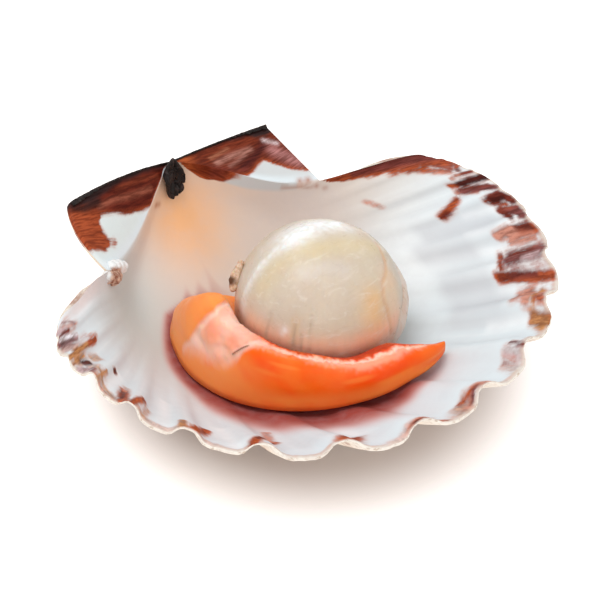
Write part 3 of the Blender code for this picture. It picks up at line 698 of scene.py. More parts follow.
# %% Colours and strokes of pigment
OCHRE, RUST, MAROON = (0.42, 0.18, 0.065), (0.36, 0.070, 0.022), (0.15, 0.024, 0.014)
PLUM, ROSE, NIGHT = (0.19, 0.055, 0.050), (0.50, 0.22, 0.16), (0.060, 0.007, 0.004)
MAUVE, MIST = (0.44, 0.30, 0.30), (0.66, 0.62, 0.64)
CHALK, TAN = (0.62, 0.46, 0.40), (0.47, 0.28, 0.19)
RIM_STROKES = (
    (CHALK, 3, 0.62, (-7.8, 4), (-7.2, 5), (-6.6, 6.5), (-6, 5.5), (-5.6, 4)),
    (CHALK, 1.7, 0.66, (-5.6, 1.4), (-4.9, 1.6), (-4.2, 1.2), (-3.2, 1)),
    (ROSE, 0.8, 0.7, (-5.6, 0.4), (-4.9, 0.6)),
    (CHALK, 0.8, 0.40, (-3.2, 0.6), (0, 0.6), (2, 0.6), (3, 0.8), (5, 0.6)),
    (RUST, 1, 1, (2.12, 0.2), (2.17, 3.8)), (OCHRE, 1.1, 1, (2.05, 1), (2.2, 3.5)),
    (ROSE, 1.2, 0.9, (2.5, 1.2), (2.72, 3.2)), (ROSE, 1.5, 0.9, (2.55, 4.5), (2.8, 5.5), (2.72, 7.8)),
    (OCHRE, 0.7, 0.8, (2.45, 2.8), (2.8, 3)), (RUST, 0.5, 0.7, (2.42, 0.6), (2.5, 2.6)),
    (ROSE, 0.6, 0.7, (3.02, 2), (3.06, 6)), (RUST, 0.9, 1, (3.1, 0.8), (3.15, 5), (3.25, 9), (3.3, 12)),
    (MAROON, 0.5, 0.8, (3.2, 4), (3.25, 7), (3.28, 11.5)), (RUST, 0.9, 0.9, (3.45, 10.2), (3.85, 10.4)),
    (PLUM, 1.9, 1, (3.65, 1.6), (3.65, 8.2)), (MAROON, 0.8, 0.6, (3.82, 3.5), (3.8, 8)),
    (MAUVE, 0.5, 0.7, (3.55, 1.5), (3.52, 5)), (RUST, 1.2, 1, (4.25, 1.2), (4.25, 6)),
    (MAROON, 0.6, 0.9, (4.3, 1.5), (4.36, 4.8)), (ROSE, 0.8, 0.8, (4.05, 2), (4.1, 7)),
    (ROSE, 0.9, 0.9, (4.35, 5), (4.3, 8.5)), (PLUM, 1.2, 1, (4.6, 1), (4.85, 1.6), (4.95, 4.2)),
    (MAROON, 0.8, 0.9, (4.62, 3.2), (4.95, 4.8)), (RUST, 0.8, 0.8, (5.1, 2.6), (5.3, 5.4)),
    (MAROON, 1.1, 1, (5.15, 1), (5.35, 1.5), (5.28, 4.4)), (NIGHT, 0.5, 0.7, (5.25, 2), (5.3, 4)),
    (ROSE, 0.9, 0.8, (5.72, 5), (5.92, 8.6)), (PLUM, 1.1, 1, (5.66, 1), (5.82, 3.5), (5.93, 7.4)),
    (MAROON, 0.5, 0.7, (5.85, 1.5), (5.93, 5)), (RUST, 0.8, 0.9, (6.1, 5.5), (6.2, 8.2)),
    (NIGHT, 0.95, 1, (6.14, 0.5), (6.15, 6.2)), (MAROON, 0.6, 0.9, (6.45, 0.8), (6.45, 4.5)),
    (ROSE, 0.6, 0.7, (6.47, 4), (6.4, 6)), (RUST, 1, 0.9, (5.7, 10), (5.5, 12.5), (5.33, 16)),
    (MAROON, 0.5, 0.8, (5.36, 13.8), (5.32, 16)), (MAROON, 0.9, 0.8, (6.66, 2.6), (6.95, 1.2), (7.1, 0.3)),
    (ROSE, 1.6, 0.8, (6.8, 4.6), (7, 6.8), (7.35, 9.6), (7.75, 13.2)),
    (RUST, 1.7, 0.8, (7.3, 8), (7.75, 12), (8.05, 16.5), (8.3, 21)),
    (MAROON, 1.5, 0.8, (6.9, 3.2), (7.3, 5)), (PLUM, 2.6, 1, (7.2, 2), (7.6, 4.6), (7.95, 8.5)),
    (NIGHT, 1.2, 0.6, (7.85, 5.5), (8.1, 9), (8.3, 14)), (ROSE, 1.2, 0.6, (6.42, 24.2), (6.72, 24.8)),
    (ROSE, 1.6, 0.6, (-7.92, 2.6), (-7.6, 5.4), (-7.42, 8.2)),
    (TAN, 1.9, 0.95, (-6.95, 2.2), (-6.7, 5), (-6.2, 3)), (ROSE, 1, 0.8, (-7.75, 3.4), (-7.35, 2.4)),
    (PLUM, 0.8, 0.6, (-7.62, 1), (-7.28, 3.2)), (PLUM, 0.7, 0.6, (-8.1, 3.2), (-7.75, 6.4), (-7.5, 8)),
    (MAUVE, 1.5, 0.9, (-7.8, 1), (-7.5, 3.2)), (MAROON, 0.7, 1, (-7.42, 1), (-7.36, 5.2)),
    (PLUM, 1.1, 1, (-7.2, 1), (-7.05, 4), (-6.92, 8.2)), (NIGHT, 0.5, 0.8, (-7.1, 2), (-6.95, 7)),
    (MIST, 0.45, 0.9, (-7.32, 1.2), (-7.18, 5), (-7.02, 9)),
    (MAUVE, 1.6, 0.45, (-6.8, 2), (-6.68, 6), (-6.7, 12)), (ROSE, 0.9, 0.6, (-6.62, 13), (-6.5, 16)),
    (OCHRE, 0.75, 1, (-6.42, 0.5), (-6.42, 8), (-6.4, 12)), (RUST, 0.9, 1, (-6.42, 11.5), (-6.39, 15)),
    (OCHRE, 0.4, 0.9, (-6.2, 0.5), (-6.22, 7)), (NIGHT, 0.85, 1, (-6.03, 4.2), (-5.9, 6.4)),
    (MAUVE, 1.2, 0.9, (-5.92, 0.8), (-5.7, 3.4)), (PLUM, 0.5, 0.8, (-5.6, 0.4), (-5.58, 3)),
    (TAN, 1.3, 0.70, (-6, 9), (-5.85, 12)), (TAN, 0.9, 0.8, (-5.6, 4.5), (-5.2, 2.5), (-4.9, 1.2)),
    (OCHRE, 0.45, 0.75, (-5.35, 0), (-5.36, 8)), (NIGHT, 0.6, 0.9, (-5.27, 13.6), (-5.24, 15.2)),
    (RUST, 0.8, 1, (-4.68, 0.5), (-4.75, 5), (-4.8, 10.5)), (MAROON, 0.4, 0.8, (-4.74, 3), (-4.8, 8.5)),
    (ROSE, 0.7, 0.6, (-4.75, 10), (-4.8, 13)), (RUST, 0.55, 1, (-4.5, 0), (-4.42, 6), (-4.34, 11.5)),
    (OCHRE, 0.6, 0.55, (-4.25, 0.5), (-4.2, 9)), (OCHRE, 0.5, 0.9, (-3.6, 0.5), (-3.58, 8)),
    (RUST, 0.65, 1, (-3.42, 1), (-3.27, 8), (-3.12, 16)),
    (RUST, 0.6, 1, (-2.62, 0), (-2.55, 3), (-2.32, 9), (-2.12, 13.5)),
    (ROSE, 0.6, 0.7, (-2.45, 4), (-2.2, 13), (-2.05, 22)), (MAROON, 0.35, 0.8, (-2.5, 4), (-2.2, 12)),
    (ROSE, 0.8, 0.8, (-1.52, 0.6), (-1.36, 4)), (RUST, 0.85, 0.9, (-1.42, 1), (-1.25, 6), (-1.1, 10)),
    (OCHRE, 0.3, 0.4, (-0.3, 1.5), (-0.2, 5)), (TAN, 1.4, 0.75, (0.10, 1), (0.20, 3.4)),
    (ROSE, 1, 0.85, (0.22, 1.2), (0.42, 2.2), (0.55, 0.8)),
    (RUST, 0.4, 0.8, (0.18, 4.2), (0.30, 2.6), (0.45, 1.6)), (PLUM, 0.45, 0.9, (0.30, 1), (0.38, 1.4)),
    (CHALK, 1.6, 0.6, (-0.80, 0.6), (-0.60, 1.2)),
    (ROSE, 0.9, 0.9, (-0.62, 0.6), (-0.42, 1.6), (-0.28, 1.2)),
    (RUST, 0.5, 0.9, (-0.40, 0.9), (-0.22, 0.5)), (MAROON, 0.35, 0.9, (-0.56, 0.5), (-0.50, 0.9)),
    (TAN, 1, 0.55, (1.1, 1.2), (1.2, 4.6)), (MAUVE, 1.2, 0.55, (1.33, 0.8), (1.32, 4.2)),
    (RUST, 0.35, 0.7, (1.22, 2), (1.2, 4.8)), (MAROON, 0.35, 0.8, (1.45, 0.2), (1.5, 3.6)),
)

# %% Lay the strokes on the rim
pigment, stain = np.zeros(len(place)), np.tile(RUST, (len(place), 1))
for colour, width, strength, *points in RIM_STROKES:
    laid = strength * rim_stroke(points, width) * is_disc
    stain = wash(stain, colour, np.clip(laid * 1.5, 0, 1))
    pigment = np.maximum(pigment, laid)
print(len(RIM_STROKES), "strokes on the rim")

# %% The dark band along the right shoulder
BAND_START = (0.26, 0.050, 0.018)
rim_depth = np.interp(along, [0.60, 0.68, 0.76, 0.84, 0.90, 0.96, 1.0],
                      [0, 1.0, 2.1, 3.3, 4.4, 5.2, 5.6])
rim_mm = (1 - across) * RIBS / 2 * 3.3 * np.clip(along, 0.3, 1)
inward = rim_mm / np.maximum(rim_depth, 0.01)
rim_band = (across > 0.7) * (along > 0.60) * fall(0.50, 1.25, inward + 0.25 * grain(place, 0.002, 34))
rim_band = rim_band * is_disc
rim_colour = np.where((along < 0.70)[:, None], BAND_START, blend(np.array(MAROON), np.array(PLUM), 0.35))
rim_colour = wash(rim_colour, RUST, ramp(0.40, 0.85, inward))
rim_colour = wash(rim_colour, NIGHT, 0.7 * fall(0.0, 0.3, inward) * ramp(0.7, 0.75, along))
stain = blend(stain, rim_colour, np.clip(rim_band * 1.3, 0, 1)[:, None])
pigment = np.maximum(pigment, rim_band)
print("the band covers", int((rim_band > 0.3).sum()), "vertices")

# %% [markdown]
# Both ears are dark all along the hinge. On the left one the pigment fills a wedge that
# narrows towards the tip, and a patch at the tip itself. On the right one it is a band below
# the hinge line that runs on over the shoulder of the disc. Streaks of lighter and darker
# colour lie along the hinge, and the line itself is black.

# %% Where the ears are dark
blots = grain(place, 0.0026, 31)
down_mm, aside_mm = (HINGE.y - place[:, 1]) * 1000, (place[:, 0] - HINGE.x) * 1000
left_from = np.interp(ear_share, [0.03, 0.08, 0.13, 0.32, 0.43, 0.59, 0.77, 0.90, 1.0],
                      [0.70, 0.34, 0.04, 0.02, 0.21, 0.46, 0.63, 0.75, 0.80])
left_band = (side < 0) * ramp(-0.08, 0.07, upward - left_from + 0.05 * blots)
tip_share = ear_share + 0.04 * (upward < 0.3) + 0.03 * (upward > 0.55) + 0.06 * blots
tip_rise = upward + 0.08 * blots - 0.10 * (ear_share - 0.84) / 0.14
left_patch = (side < 0) * ramp(0.77, 0.87, tip_share) * ramp(0.10, 0.28, tip_rise)
right_to = np.interp(aside_mm, [12.0, 15.4, 18.6, 21.3, 23.5, 28.2, 31.1, 34.0],
                     [12.0, 11.2, 11.0, 9.9, 9.5, 14.7, 17.3, 19.0])
below_ear = np.interp(along, [0.030, 0.045, 0.062, 0.090, 0.113, 0.140, 0.173, 0.21, 0.24, 0.295],
                      [1.01, 0.99, 0.95, 0.91, 0.90, 0.905, 0.935, 0.955, 0.985, 1.01])
on_wall = is_disc * (across > 0.6) * ramp(-0.014, 0.014, across - below_ear + 0.008 * blots)
right_band = np.where(side > 0, fall(-0.9, 0.9, down_mm - right_to + 0.6 * blots), on_wall)
lower_edge = np.where(side > 0, fall(0.3, 1.7, right_to - down_mm), fall(0.0, 0.05, across - below_ear))
ear_pigment = np.maximum(np.maximum(left_band, np.clip(1.4 * left_patch, 0, 1)), right_band)
print("dark on", int((ear_pigment > 0.3).sum()), "vertices by the hinge")

# %% Streaks and the black line on the ears
WINE, EMBER, HINGE_BLACK = (0.100, 0.012, 0.005), (0.40, 0.085, 0.022), (0.030, 0.013, 0.012)
EAR_STROKES = (
    ((0.38, 0.12, 0.07), 0.55, 0.50, (-27.0, 3.7), (-22.6, 3.2), (-17.2, 3.4), (-10.3, 3.3)),
    ((0.030, 0.010, 0.008), 0.9, 0.95, (-33.5, 2.0), (-31.4, 3.2), (-26.4, 2.6)),
    ((0.10, 0.012, 0.006), 0.45, 0.5, (-24.0, 4.8), (-16.0, 4.5), (-11.0, 4.2)),
    ((0.24, 0.05, 0.02), 0.45, 0.5, (-20.0, 1.6), (-12.0, 1.4), (-7.0, 1.8)),
    ((0.38, 0.17, 0.13), 0.85, 0.85, (10.0, 5.4), (14.0, 4.9), (17.1, 4.8), (21.9, 5.1)),
    ((0.36, 0.13, 0.07), 0.5, 0.7, (9.1, 3.5), (12.5, 3.1), (15.8, 2.6)),
    ((0.32, 0.15, 0.12), 0.6, 0.6, (13.0, 7.3), (16.5, 6.6), (19.5, 5.9)),
    ((0.065, 0.010, 0.008), 1.4, 0.95, (16.8, 8.6), (19.0, 8.0), (21.6, 7.2), (25.9, 5.5)),
    ((0.16, 0.030, 0.020), 0.8, 0.6, (8.0, 6.2), (12.0, 8.0), (17.5, 9.6)),
    ((0.62, 0.50, 0.50), 0.6, 0.90, (27.0, 4.1), (28.3, 5.2), (29.8, 6.6)),
    ((0.45, 0.20, 0.19), 1.7, 0.7, (27.5, 8.0), (29.5, 11.0), (31.5, 14.5)),
)
ear_place = as_places(aside_mm, down_mm) / 1000
ear_stain = coats(
    np.tile(WINE, (len(place), 1)),
    (RUST, 0.25 * left_patch + 0.20 * right_band),
    (RUST, 0.9 * lower_edge * (right_band > 0)),
    (RUST, 0.7 * (side < 0) * fall(0.0, 0.10, upward - left_from)),
    (EMBER, 0.8 * spot(ear_place, (2.5, 1.6), 2.2)),
)
for colour, width, strength, *points in EAR_STROKES:
    ear_stain = wash(ear_stain, colour, strength * stroke(ear_place, points, width))
black_to = np.interp(aside_mm, [-34, -32.8, -30, -25.6, -21.4, -16.5, -2, 0.4, 16.6, 23.1, 26.5, 28.5, 31.5],
                     [1.3, 1.8, 2.2, 1.8, 1.2, 0.7, 0.5, 0.3, 0.6, 1.3, 2.6, 3.2, 2.4])
black = (side != 0) * fall(-0.5, 0.7, down_mm - black_to + 0.5 * blots)
ear_stain = wash(ear_stain, HINGE_BLACK, black)
ear_pigment = np.maximum(ear_pigment, black)
stain = np.where((ear_pigment > pigment)[:, None], ear_stain, stain)
pigment = np.maximum(pigment, ear_pigment)
print("pigment on", int((pigment > 0.3).sum()), "of", len(place), "vertices")

# %% Keep the pigment, its colour and the way its streaks run
rim_streaks = as_places(rib * RIB_MM, edge_mm * 0.16, 0)
ear_streaks = as_places(down_mm * 1.3, aside_mm * 0.14, 7)
remember(valve, "streaks", np.where((side != 0)[:, None], ear_streaks, rim_streaks))
remember(valve, "pigment", pigment)
remember_colour(valve, "stain", stain)
print("the valve remembers", [name for name in valve.data.attributes.keys() if "." not in name])

# %% [markdown]
# A red-brown shadow is painted on the shell round the coral: painted contact shade with a
# painted reddish reflection of the coral. It follows the coral's outline, whose distance from
# the muscle's middle is given here at nine even turns from its tip to its blunt end, and it
# reaches further out along three of the ribs. Last, the worn rim of the shell is chalky.

# %% Painted shadow round the coral, and the chalky rim
CORAL_REACH = (0.0346, 0.0336, 0.0326, 0.0316, 0.0313, 0.0328, 0.0358, 0.0380, 0.0290)
CORAL_TIP, CORAL_END = math.radians(-64), math.radians(-256)
MUSCLE = Vector((HINGE.x + 0.0046, HINGE.y - 0.0557, 0))
CORAL_PAINTED_SHADOW, CORAL_PAINTED_SHADOW_EDGE, RIM_CHALK = (0.33, 0.055, 0.042), (0.62, 0.30, 0.27), (0.68, 0.58, 0.46)
FULL_TURN = 2 * math.pi
off_x, off_y = place[:, 0] - MUSCLE.x, place[:, 1] - MUSCLE.y
round_turn = (CORAL_TIP - np.arctan2(off_y, off_x)) % FULL_TURN / (CORAL_TIP - CORAL_END)
round_turn = np.where(round_turn > 1.4, round_turn - FULL_TURN / (CORAL_TIP - CORAL_END), round_turn)
beyond = (np.hypot(off_x, off_y) - np.interp(round_turn, np.linspace(0, 1, 9), CORAL_REACH)) * 1000
painted_shadow_mm = np.interp(round_turn, [0, 0.1, 0.25, 0.45, 0.55, 0.65, 0.8, 1.0], [3, 5, 10, 11.5, 8, 5, 3.5, 3])
painted_shadow_mm += 9 * hump(rib, -0.5, 0.28) + 4 * hump(rib, -1.5, 0.35) + 3 * hump(rib, -2.5, 0.3)
by_coral = ramp(0.0, 0.16, round_turn) * fall(0.85, 1.05, round_turn) * is_disc
# Painted shadow: red-brown contact shade with reflected coral colour, darkest next to the coral and fading
# outwards.
paint = wash(paint, CORAL_PAINTED_SHADOW_EDGE, 0.88 * by_coral * fall(0.45, 1.15, beyond / painted_shadow_mm))
paint = wash(paint, CORAL_PAINTED_SHADOW, 0.92 * by_coral * fall(0.22, 0.90, beyond / painted_shadow_mm))
paint = disc_wash(RIM_CHALK, 0.65 * fall(0.3, 1.2, edge_mm + 0.6 * grain(place, 0.0014, 33)))
remember_colour(valve, "paint", paint)
# How far the painted shadow reaches, printed.
print("juice reaches", round(float((painted_shadow_mm * by_coral).max())), "mm from the coral at most")

# %% [markdown]
# The valve carries two finishes. Inside, the painted colours lie under a faint glaze, and the
# pigment breaks up into fine streaks along the ribs. Outside, the shell is dull, with rings
# of growth across, fine riblets down, red-brown blotches, painted shade in the grooves between
# the ribs and a worn, crusty rim.

# %% Glazed inside
glaze, tree = new_finish("porcelain_inside", IOR=1.5, Coat_Weight=0.03, Coat_Roughness=0.18,
                         Specular_IOR_Level=0.08)
cloud = mottle(tree, 240, 3, roughness=0.6)
base = mix_colour(tree, step(tree, cloud, 0.35, 0.75, 0.0, 0.12), kept(tree, "paint", "Color"),
                  (0.60, 0.58, 0.62))
fine = noise_node(tree, {"Vector": kept(tree, "streaks", "Vector"), "Scale": 1.6, "Detail": 4.0,
                         "Roughness": 0.60})
ragged = mottle(tree, 900, 3, roughness=0.6)
pigment_here = kept(tree, "pigment")
loosened = calc(tree, "MULTIPLY_ADD", fine, 0.8, calc(tree, "MULTIPLY_ADD", ragged, 0.3, -0.55))
laid = calc(tree, "MULTIPLY_ADD", loosened, step(tree, pigment_here, 0.05, 0.45), pigment_here)
tone = mix_colour(tree, step(tree, fine, 0.36, 0.64), (0.66, 0.58, 0.55), (1.30, 1.35, 1.38))
streaked = mix_colour(tree, 1.0, kept(tree, "stain", "Color"), tone, "MULTIPLY")
streaked = mix_colour(tree, step(tree, laid, 0.15, 0.62, 0.75, 0.0), streaked, (0.62, 0.24, 0.13))
base = mix_colour(tree, step(tree, laid, 0.06, 0.84), base, streaked)
relief = bump(tree, ragged, 0.00006, 0.6)
relief = bump(tree, mottle(tree, 160), 0.0003, 0.4, relief)
wire(glaze, Base_Color=base, Roughness=step(tree, cloud, 0.2, 0.8, 0.36, 0.50), Normal=relief)

# %% Rough outside
rough, tree = new_finish("ribbed_outside", Roughness=0.62, IOR=1.5)
rings, rays = bands(tree, "along", 60.0, 5.0, 0.7), bands(tree, "across", 48.0, 4.0, 0.6)
patches = mottle(tree, 70, 4, roughness=0.6, distortion=0.4)
base = mix_colour(tree, step(tree, rings, 0.35, 0.65), (0.72, 0.60, 0.48), (0.80, 0.73, 0.64))
blotch = step(tree, calc(tree, "ADD", patches, calc(tree, "MULTIPLY_ADD", rays, 0.5, -0.25)), 0.50, 0.62)
base = mix_colour(tree, calc(tree, "MULTIPLY", blotch, 0.75), base, (0.33, 0.12, 0.075))
# Painted shade: the grooves between the outer ribs are darker.
base = mix_colour(tree, step(tree, kept(tree, "wave"), -0.85, 0.10, 0.50, 0.0), base, (0.47, 0.35, 0.26))
rim = step(tree, kept(tree, "along"), 0.955, 0.985)
base = mix_colour(tree, calc(tree, "MULTIPLY", rim, 0.85), base, (0.78, 0.73, 0.65))
crust = step(tree, mottle(tree, 700, 4, (1, 1, 1.6), 0.7), 0.50, 0.66)
crusted = calc(tree, "MULTIPLY", crust, calc(tree, "MULTIPLY", rim, 0.6))
base = mix_colour(tree, crusted, base, (0.38, 0.23, 0.13))
riblets = calc(tree, "SINE", calc(tree, "MULTIPLY", kept(tree, "across"), math.pi * RIBS * 7))
relief = bump(tree, riblets, 0.00012, 0.6)
relief = bump(tree, rings, 0.0005, 0.8, relief)
relief = bump(tree, mottle(tree, 1400, 4), 0.0002, 0.8, relief)
wire(rough, Base_Color=base, Normal=relief)

# %% Each finish to its side
for finish in (glaze, rough):
    valve.data.materials.append(finish)
outer_face = [any(outside[i] for i in face.vertices) for face in valve.data.polygons]
valve.data.polygons.foreach_set("material_index", np.array(outer_face, dtype=int))
valve.data.update()
print(sum(outer_face), "of", len(outer_face), "faces are rough")

# %% [markdown]
# ## The round muscle
#
# The muscle is a short thick pillar of fibres that ran from one valve to the other. Cut free
# above, it bulges into a dome. A ball gives the dome, its lower rings become the wall, and
# the last ones lie on the shell. The floor of the bowl is felt with rays from above.

# %% Feel for the shell's floor
valve_surface = BVHTree.FromObject(valve, bpy.context.evaluated_depsgraph_get())
GAP = 0.00035
ABOVE = 0.2


def height_of(surface, x, y):
    """Height at which a ray from above meets this surface, for each place."""
    heights = np.full(len(x), -1.0)
    for index, (a, b) in enumerate(zip(x, y)):
        hit = surface.ray_cast(Vector((a, b, ABOVE)), Vector((0, 0, -1)))[0]
        if hit is not None:
            heights[index] = hit.z
    return heights


def height_of_ridges(x, y, spread):
    """Height of a soft thing that rests on the tops of the inner ridges round each place."""
    shifts = ((0, 0), (spread, 0), (-spread, 0), (0, spread), (0, -spread))
    return np.max([height_of(ridge_surface, x + dx, y + dy) for dx, dy in shifts], axis=0)

# %% Measures of the round muscle
MUSCLE_RADIUS, MUSCLE_BASE = 0.0217, 0.0200
WAIST_Z, TOP_Z = -0.0115, 0.0082
MUSCLE_RINGS, WALL_RINGS = 160, 124
WALL_LEAN, FOOT_LEAN = 0.72, 0.22


def muscle_radius(z):
    """Radius of the round muscle at this height above the hinge line."""
    rise = np.clip((z - WAIST_Z) / (TOP_Z - WAIST_Z), 0, 1)
    sink = np.clip((WAIST_Z - z) / (BOWL_DEPTH + WAIST_Z), 0, 1)
    dome = MUSCLE_RADIUS * np.clip(1 - rise ** 2, 0, None) ** 0.45
    return np.where(z >= WAIST_Z, dome, blend(MUSCLE_RADIUS, MUSCLE_BASE, sink ** 2))


def round_muscle_place(radius, angle, z):
    """A place at this distance and in this direction from the muscle's middle line."""
    return as_places(MUSCLE.x + radius * np.cos(angle), MUSCLE.y + radius * np.sin(angle), z)

# %% Shape of the round muscle
muscle = new_ball(240, MUSCLE_RINGS)
ball = places_of(muscle)
ring = np.arccos(np.clip(ball[:, 2], -1, 1)) / math.pi * MUSCLE_RINGS
turn = np.arctan2(ball[:, 1], ball[:, 0])
lean = ring / WALL_RINGS * math.pi * WALL_LEAN
in_dome, in_wall = lean < math.pi / 2, ring <= WALL_RINGS
dome_z = blend(WAIST_Z, TOP_Z, np.cos(lean))
sink = np.clip((lean - math.pi / 2) / (math.pi * FOOT_LEAN), 0, 1)
wall_radius = blend(MUSCLE_RADIUS, MUSCLE_BASE, sink ** 2)
base_radius = MUSCLE_BASE * (MUSCLE_RINGS - ring) / (MUSCLE_RINGS - WALL_RINGS)
radius = np.where(in_dome, muscle_radius(dome_z), np.where(in_wall, wall_radius, base_radius))
smooth_place = round_muscle_place(radius, turn, 0)
ground = height_of(valve_surface, smooth_place[:, 0], smooth_place[:, 1]) + GAP
wall_z = blend(HINGE.z + WAIST_Z, ground, sink)
z = np.where(in_dome, HINGE.z + dome_z, np.where(in_wall, wall_z, ground))
smooth_place[:, 2] = z
print("the muscle stands", round((z.max() - z.min()) * 1000, 1), "mm high")

# %% [markdown]
# A real muscle isn't smooth. Its fibres run upright and show as dents where the knife pressed,
# a seam crosses its right side, and a wet, wrinkled film lies over the top and down the left
# side. All of these are lines on the skin, so they are laid as strokes: first as relief, then
# as thin washes of colour. The film's white wash is partly a painted highlight, the front is
# painted darker low down as shade, and a painted orange reflection of the coral lies round
# the foot.

# %% Fibres, seam and film on the muscle
FILM_LINE = ((-15.2, 5.6, 24.5), (-14.6, 6.4, 27.5), (-12.4, 7.0, 32.0), (-9.4, 7.0, 35.4),
             (-5.2, 6.4, 38.3), (-1.0, 5.2, 40.1), (2.8, 5.2, 40.8))
TOP_FILM = ((0.4, 6.4, 40.0), (7.9, 6.4, 40.2), (12.6, 4.6, 39.6))
SEAM_LINE = ((19.2, -4.0, 36.0), (18.0, -8.0, 35.8), (14.7, -13.0, 35.1), (11.5, -15.2, 34.9),
             (9.9, -18.0, 32.5), (10.2, -20.0, 28.3), (11.0, -21.0, 22.2))
FIBRE_LINES = (((-13.5, -11.8, 24.0), (-12.0, -10.3, 31.0)), ((-12.3, -13.3, 24.0), (-11.6, -12.5, 28.0)),
               ((-10.8, -14.8, 24.0), (-9.2, -12.7, 32.5)), ((-16.4, -4.6, 24.0), (-15.0, -4.2, 30.0)))
FILM_RAISED, FOLD_RAISED, SEAM_SUNK, FIBRE_SUNK = 0.00022, 0.00016, 0.00032, 0.00030
SKIN_SUNK = 0.00035
upright = as_places(np.cos(turn) * 30, np.sin(turn) * 30, z * 90)
away = as_places(np.cos(turn), np.sin(turn), 0.6 * np.clip((z - HINGE.z) / TOP_Z, 0, 1))
depth = 0.00012 * grain(upright, 2.2, 5) + 0.00030 * grain(smooth_place, 0.0075, 6)
depth += FILM_RAISED * stroke(smooth_place, FILM_LINE, 1.1)
depth -= SEAM_SUNK * stroke(smooth_place, SEAM_LINE, 0.7)
for line in FIBRE_LINES:
    depth -= FIBRE_SUNK * stroke(smooth_place, line, 0.45)
filmy = stroke(smooth_place, FILM_LINE, 2.2) + stroke(smooth_place, TOP_FILM, 4.5)
filmy = np.clip(filmy, 0, 1)
folds = 1 - 2.4 * np.abs(grain(smooth_place * (0.5, 1.0, 1.3), 0.0012, 28))
depth += FOLD_RAISED * filmy * folds
depth = (depth - SKIN_SUNK) * ramp(0.0, 0.004, z - ground)
place = smooth_place + away * (depth * np.clip(radius / MUSCLE_RADIUS, 0, 1))[:, None]
move_to(muscle, place)
print("relief from", np.round(depth.min() * 1000, 2), "to", np.round(depth.max() * 1000, 2), "mm")

# %% Colours of the muscle
CREAM, YELLOWED, BLUSH = (0.60, 0.505, 0.395), (0.66, 0.53, 0.32), (0.59, 0.48, 0.385)
FILM_WHITE_AND_HIGHLIGHT, FOOT_PAINTED_CORAL_REFLECTION, LOW_PAINTED_CORAL_REFLECTION = (0.92, 0.95, 0.97), (0.90, 0.48, 0.30), (0.68, 0.30, 0.16)
FIBRE_BROWN = (0.44, 0.31, 0.22)
MUSCLE_WASHES = (
    (BLUSH, 7.0, 0.8, ((-14.0, -3.0, 30.0), (-9.0, -6.4, 36.0), (-3.0, -11.8, 37.0))),
    # Painted shade: darker and warmer low on the muscle's front.
    ((0.58, 0.46, 0.34), 6.0, 0.65, ((-9.0, -15.5, 27.0), (-4.0, -17.6, 29.0), (2.0, -19.0, 26.0))),
    (YELLOWED, 3.0, 0.60, ((-12.6, 1.8, 33.5), (-9.9, 2.2, 36.5), (-4.5, 1.8, 39.7), (0.8, 1.0, 41.0))),
    (YELLOWED, 3.4, 0.75, ((0.8, -1.0, 41.0), (9.2, -4.4, 40.6), (16.5, -6.1, 37.2))),
    ((0.62, 0.55, 0.49), 2.4, 0.7, ((-5.0, -4.7, 39.0), (-0.6, -6.9, 40.0), (3.0, -9.5, 39.4))),
    ((0.74, 0.45, 0.21), 4.0, 0.80, ((6.8, -17.6, 33.0), (5.0, -19.6, 30.8), (6.6, -20.4, 27.5))),
    ((0.74, 0.53, 0.36), 3.2, 0.9, ((14.5, -14.5, 34.0), (13.4, -17.9, 30.5), (13.5, -19.6, 25.0))),
    ((0.64, 0.54, 0.47), 2.2, 0.7, ((-12.5, 11.6, 26.9), (-9.8, 10.8, 32.3), (-3.9, 10.7, 37.0),
                                    (3.6, 11.5, 38.4))),
    # Painted reflection: orange from the coral round the muscle's foot.
    (FOOT_PAINTED_CORAL_REFLECTION, 3.0, 0.80, ((-17.2, 1.0, 24.5), (-16.2, -5.6, 24.6), (-13.4, -11.4, 25.0),
                            (-8.4, -16.8, 25.2), (-1.0, -20.6, 25.0), (7.0, -21.6, 25.0),
                            (14.0, -19.6, 24.5))),
    ((0.62, 0.42, 0.24), 1.2, 0.60, FIBRE_LINES[0]),
    # White film, whitened further as a painted highlight where the wet top and left side catch the light.
    (FILM_WHITE_AND_HIGHLIGHT, 1.7, 0.52, FILM_LINE),
    (FILM_WHITE_AND_HIGHLIGHT, 4.2, 1.0, TOP_FILM),
    ((0.80, 0.71, 0.62), 1.0, 0.7, ((14.4, 3.2, 39.2), (19.0, -0.2, 36.7), (19.4, -6.0, 35.4))),
    ((0.66, 0.36, 0.18), 0.75, 0.7, SEAM_LINE),
    (FILM_WHITE_AND_HIGHLIGHT, 0.9, 0.6, ((-14.9, -8.6, 26.8), (-13.9, -8.8, 28.0))),
)

# %% Lay the muscle's colours
film_patches = 0.85 + 0.4 * grain(place * (1, 1, 2.0), 0.0013, 27)
paint = np.tile(CREAM, (len(place), 1))
for colour, width, share, line in MUSCLE_WASHES:
    patchy = film_patches if colour == FILM_WHITE_AND_HIGHLIGHT else 1
    paint = wash(paint, colour, share * patchy * stroke(place, line, width))
for line in FIBRE_LINES:
    paint = wash(paint, FIBRE_BROWN, 0.70 * stroke(place, line, 0.45))
# Painted reflection: the lowest part of the muscle is tinted orange as if lit by the coral.
paint = wash(paint, LOW_PAINTED_CORAL_REFLECTION, 0.5 * fall(-0.016, -0.006, place[:, 2] - HINGE.z))
remember_colour(muscle, "paint", paint)
remember(muscle, "film", filmy)
finish_piece(muscle, "round_muscle", "muscle", 80)

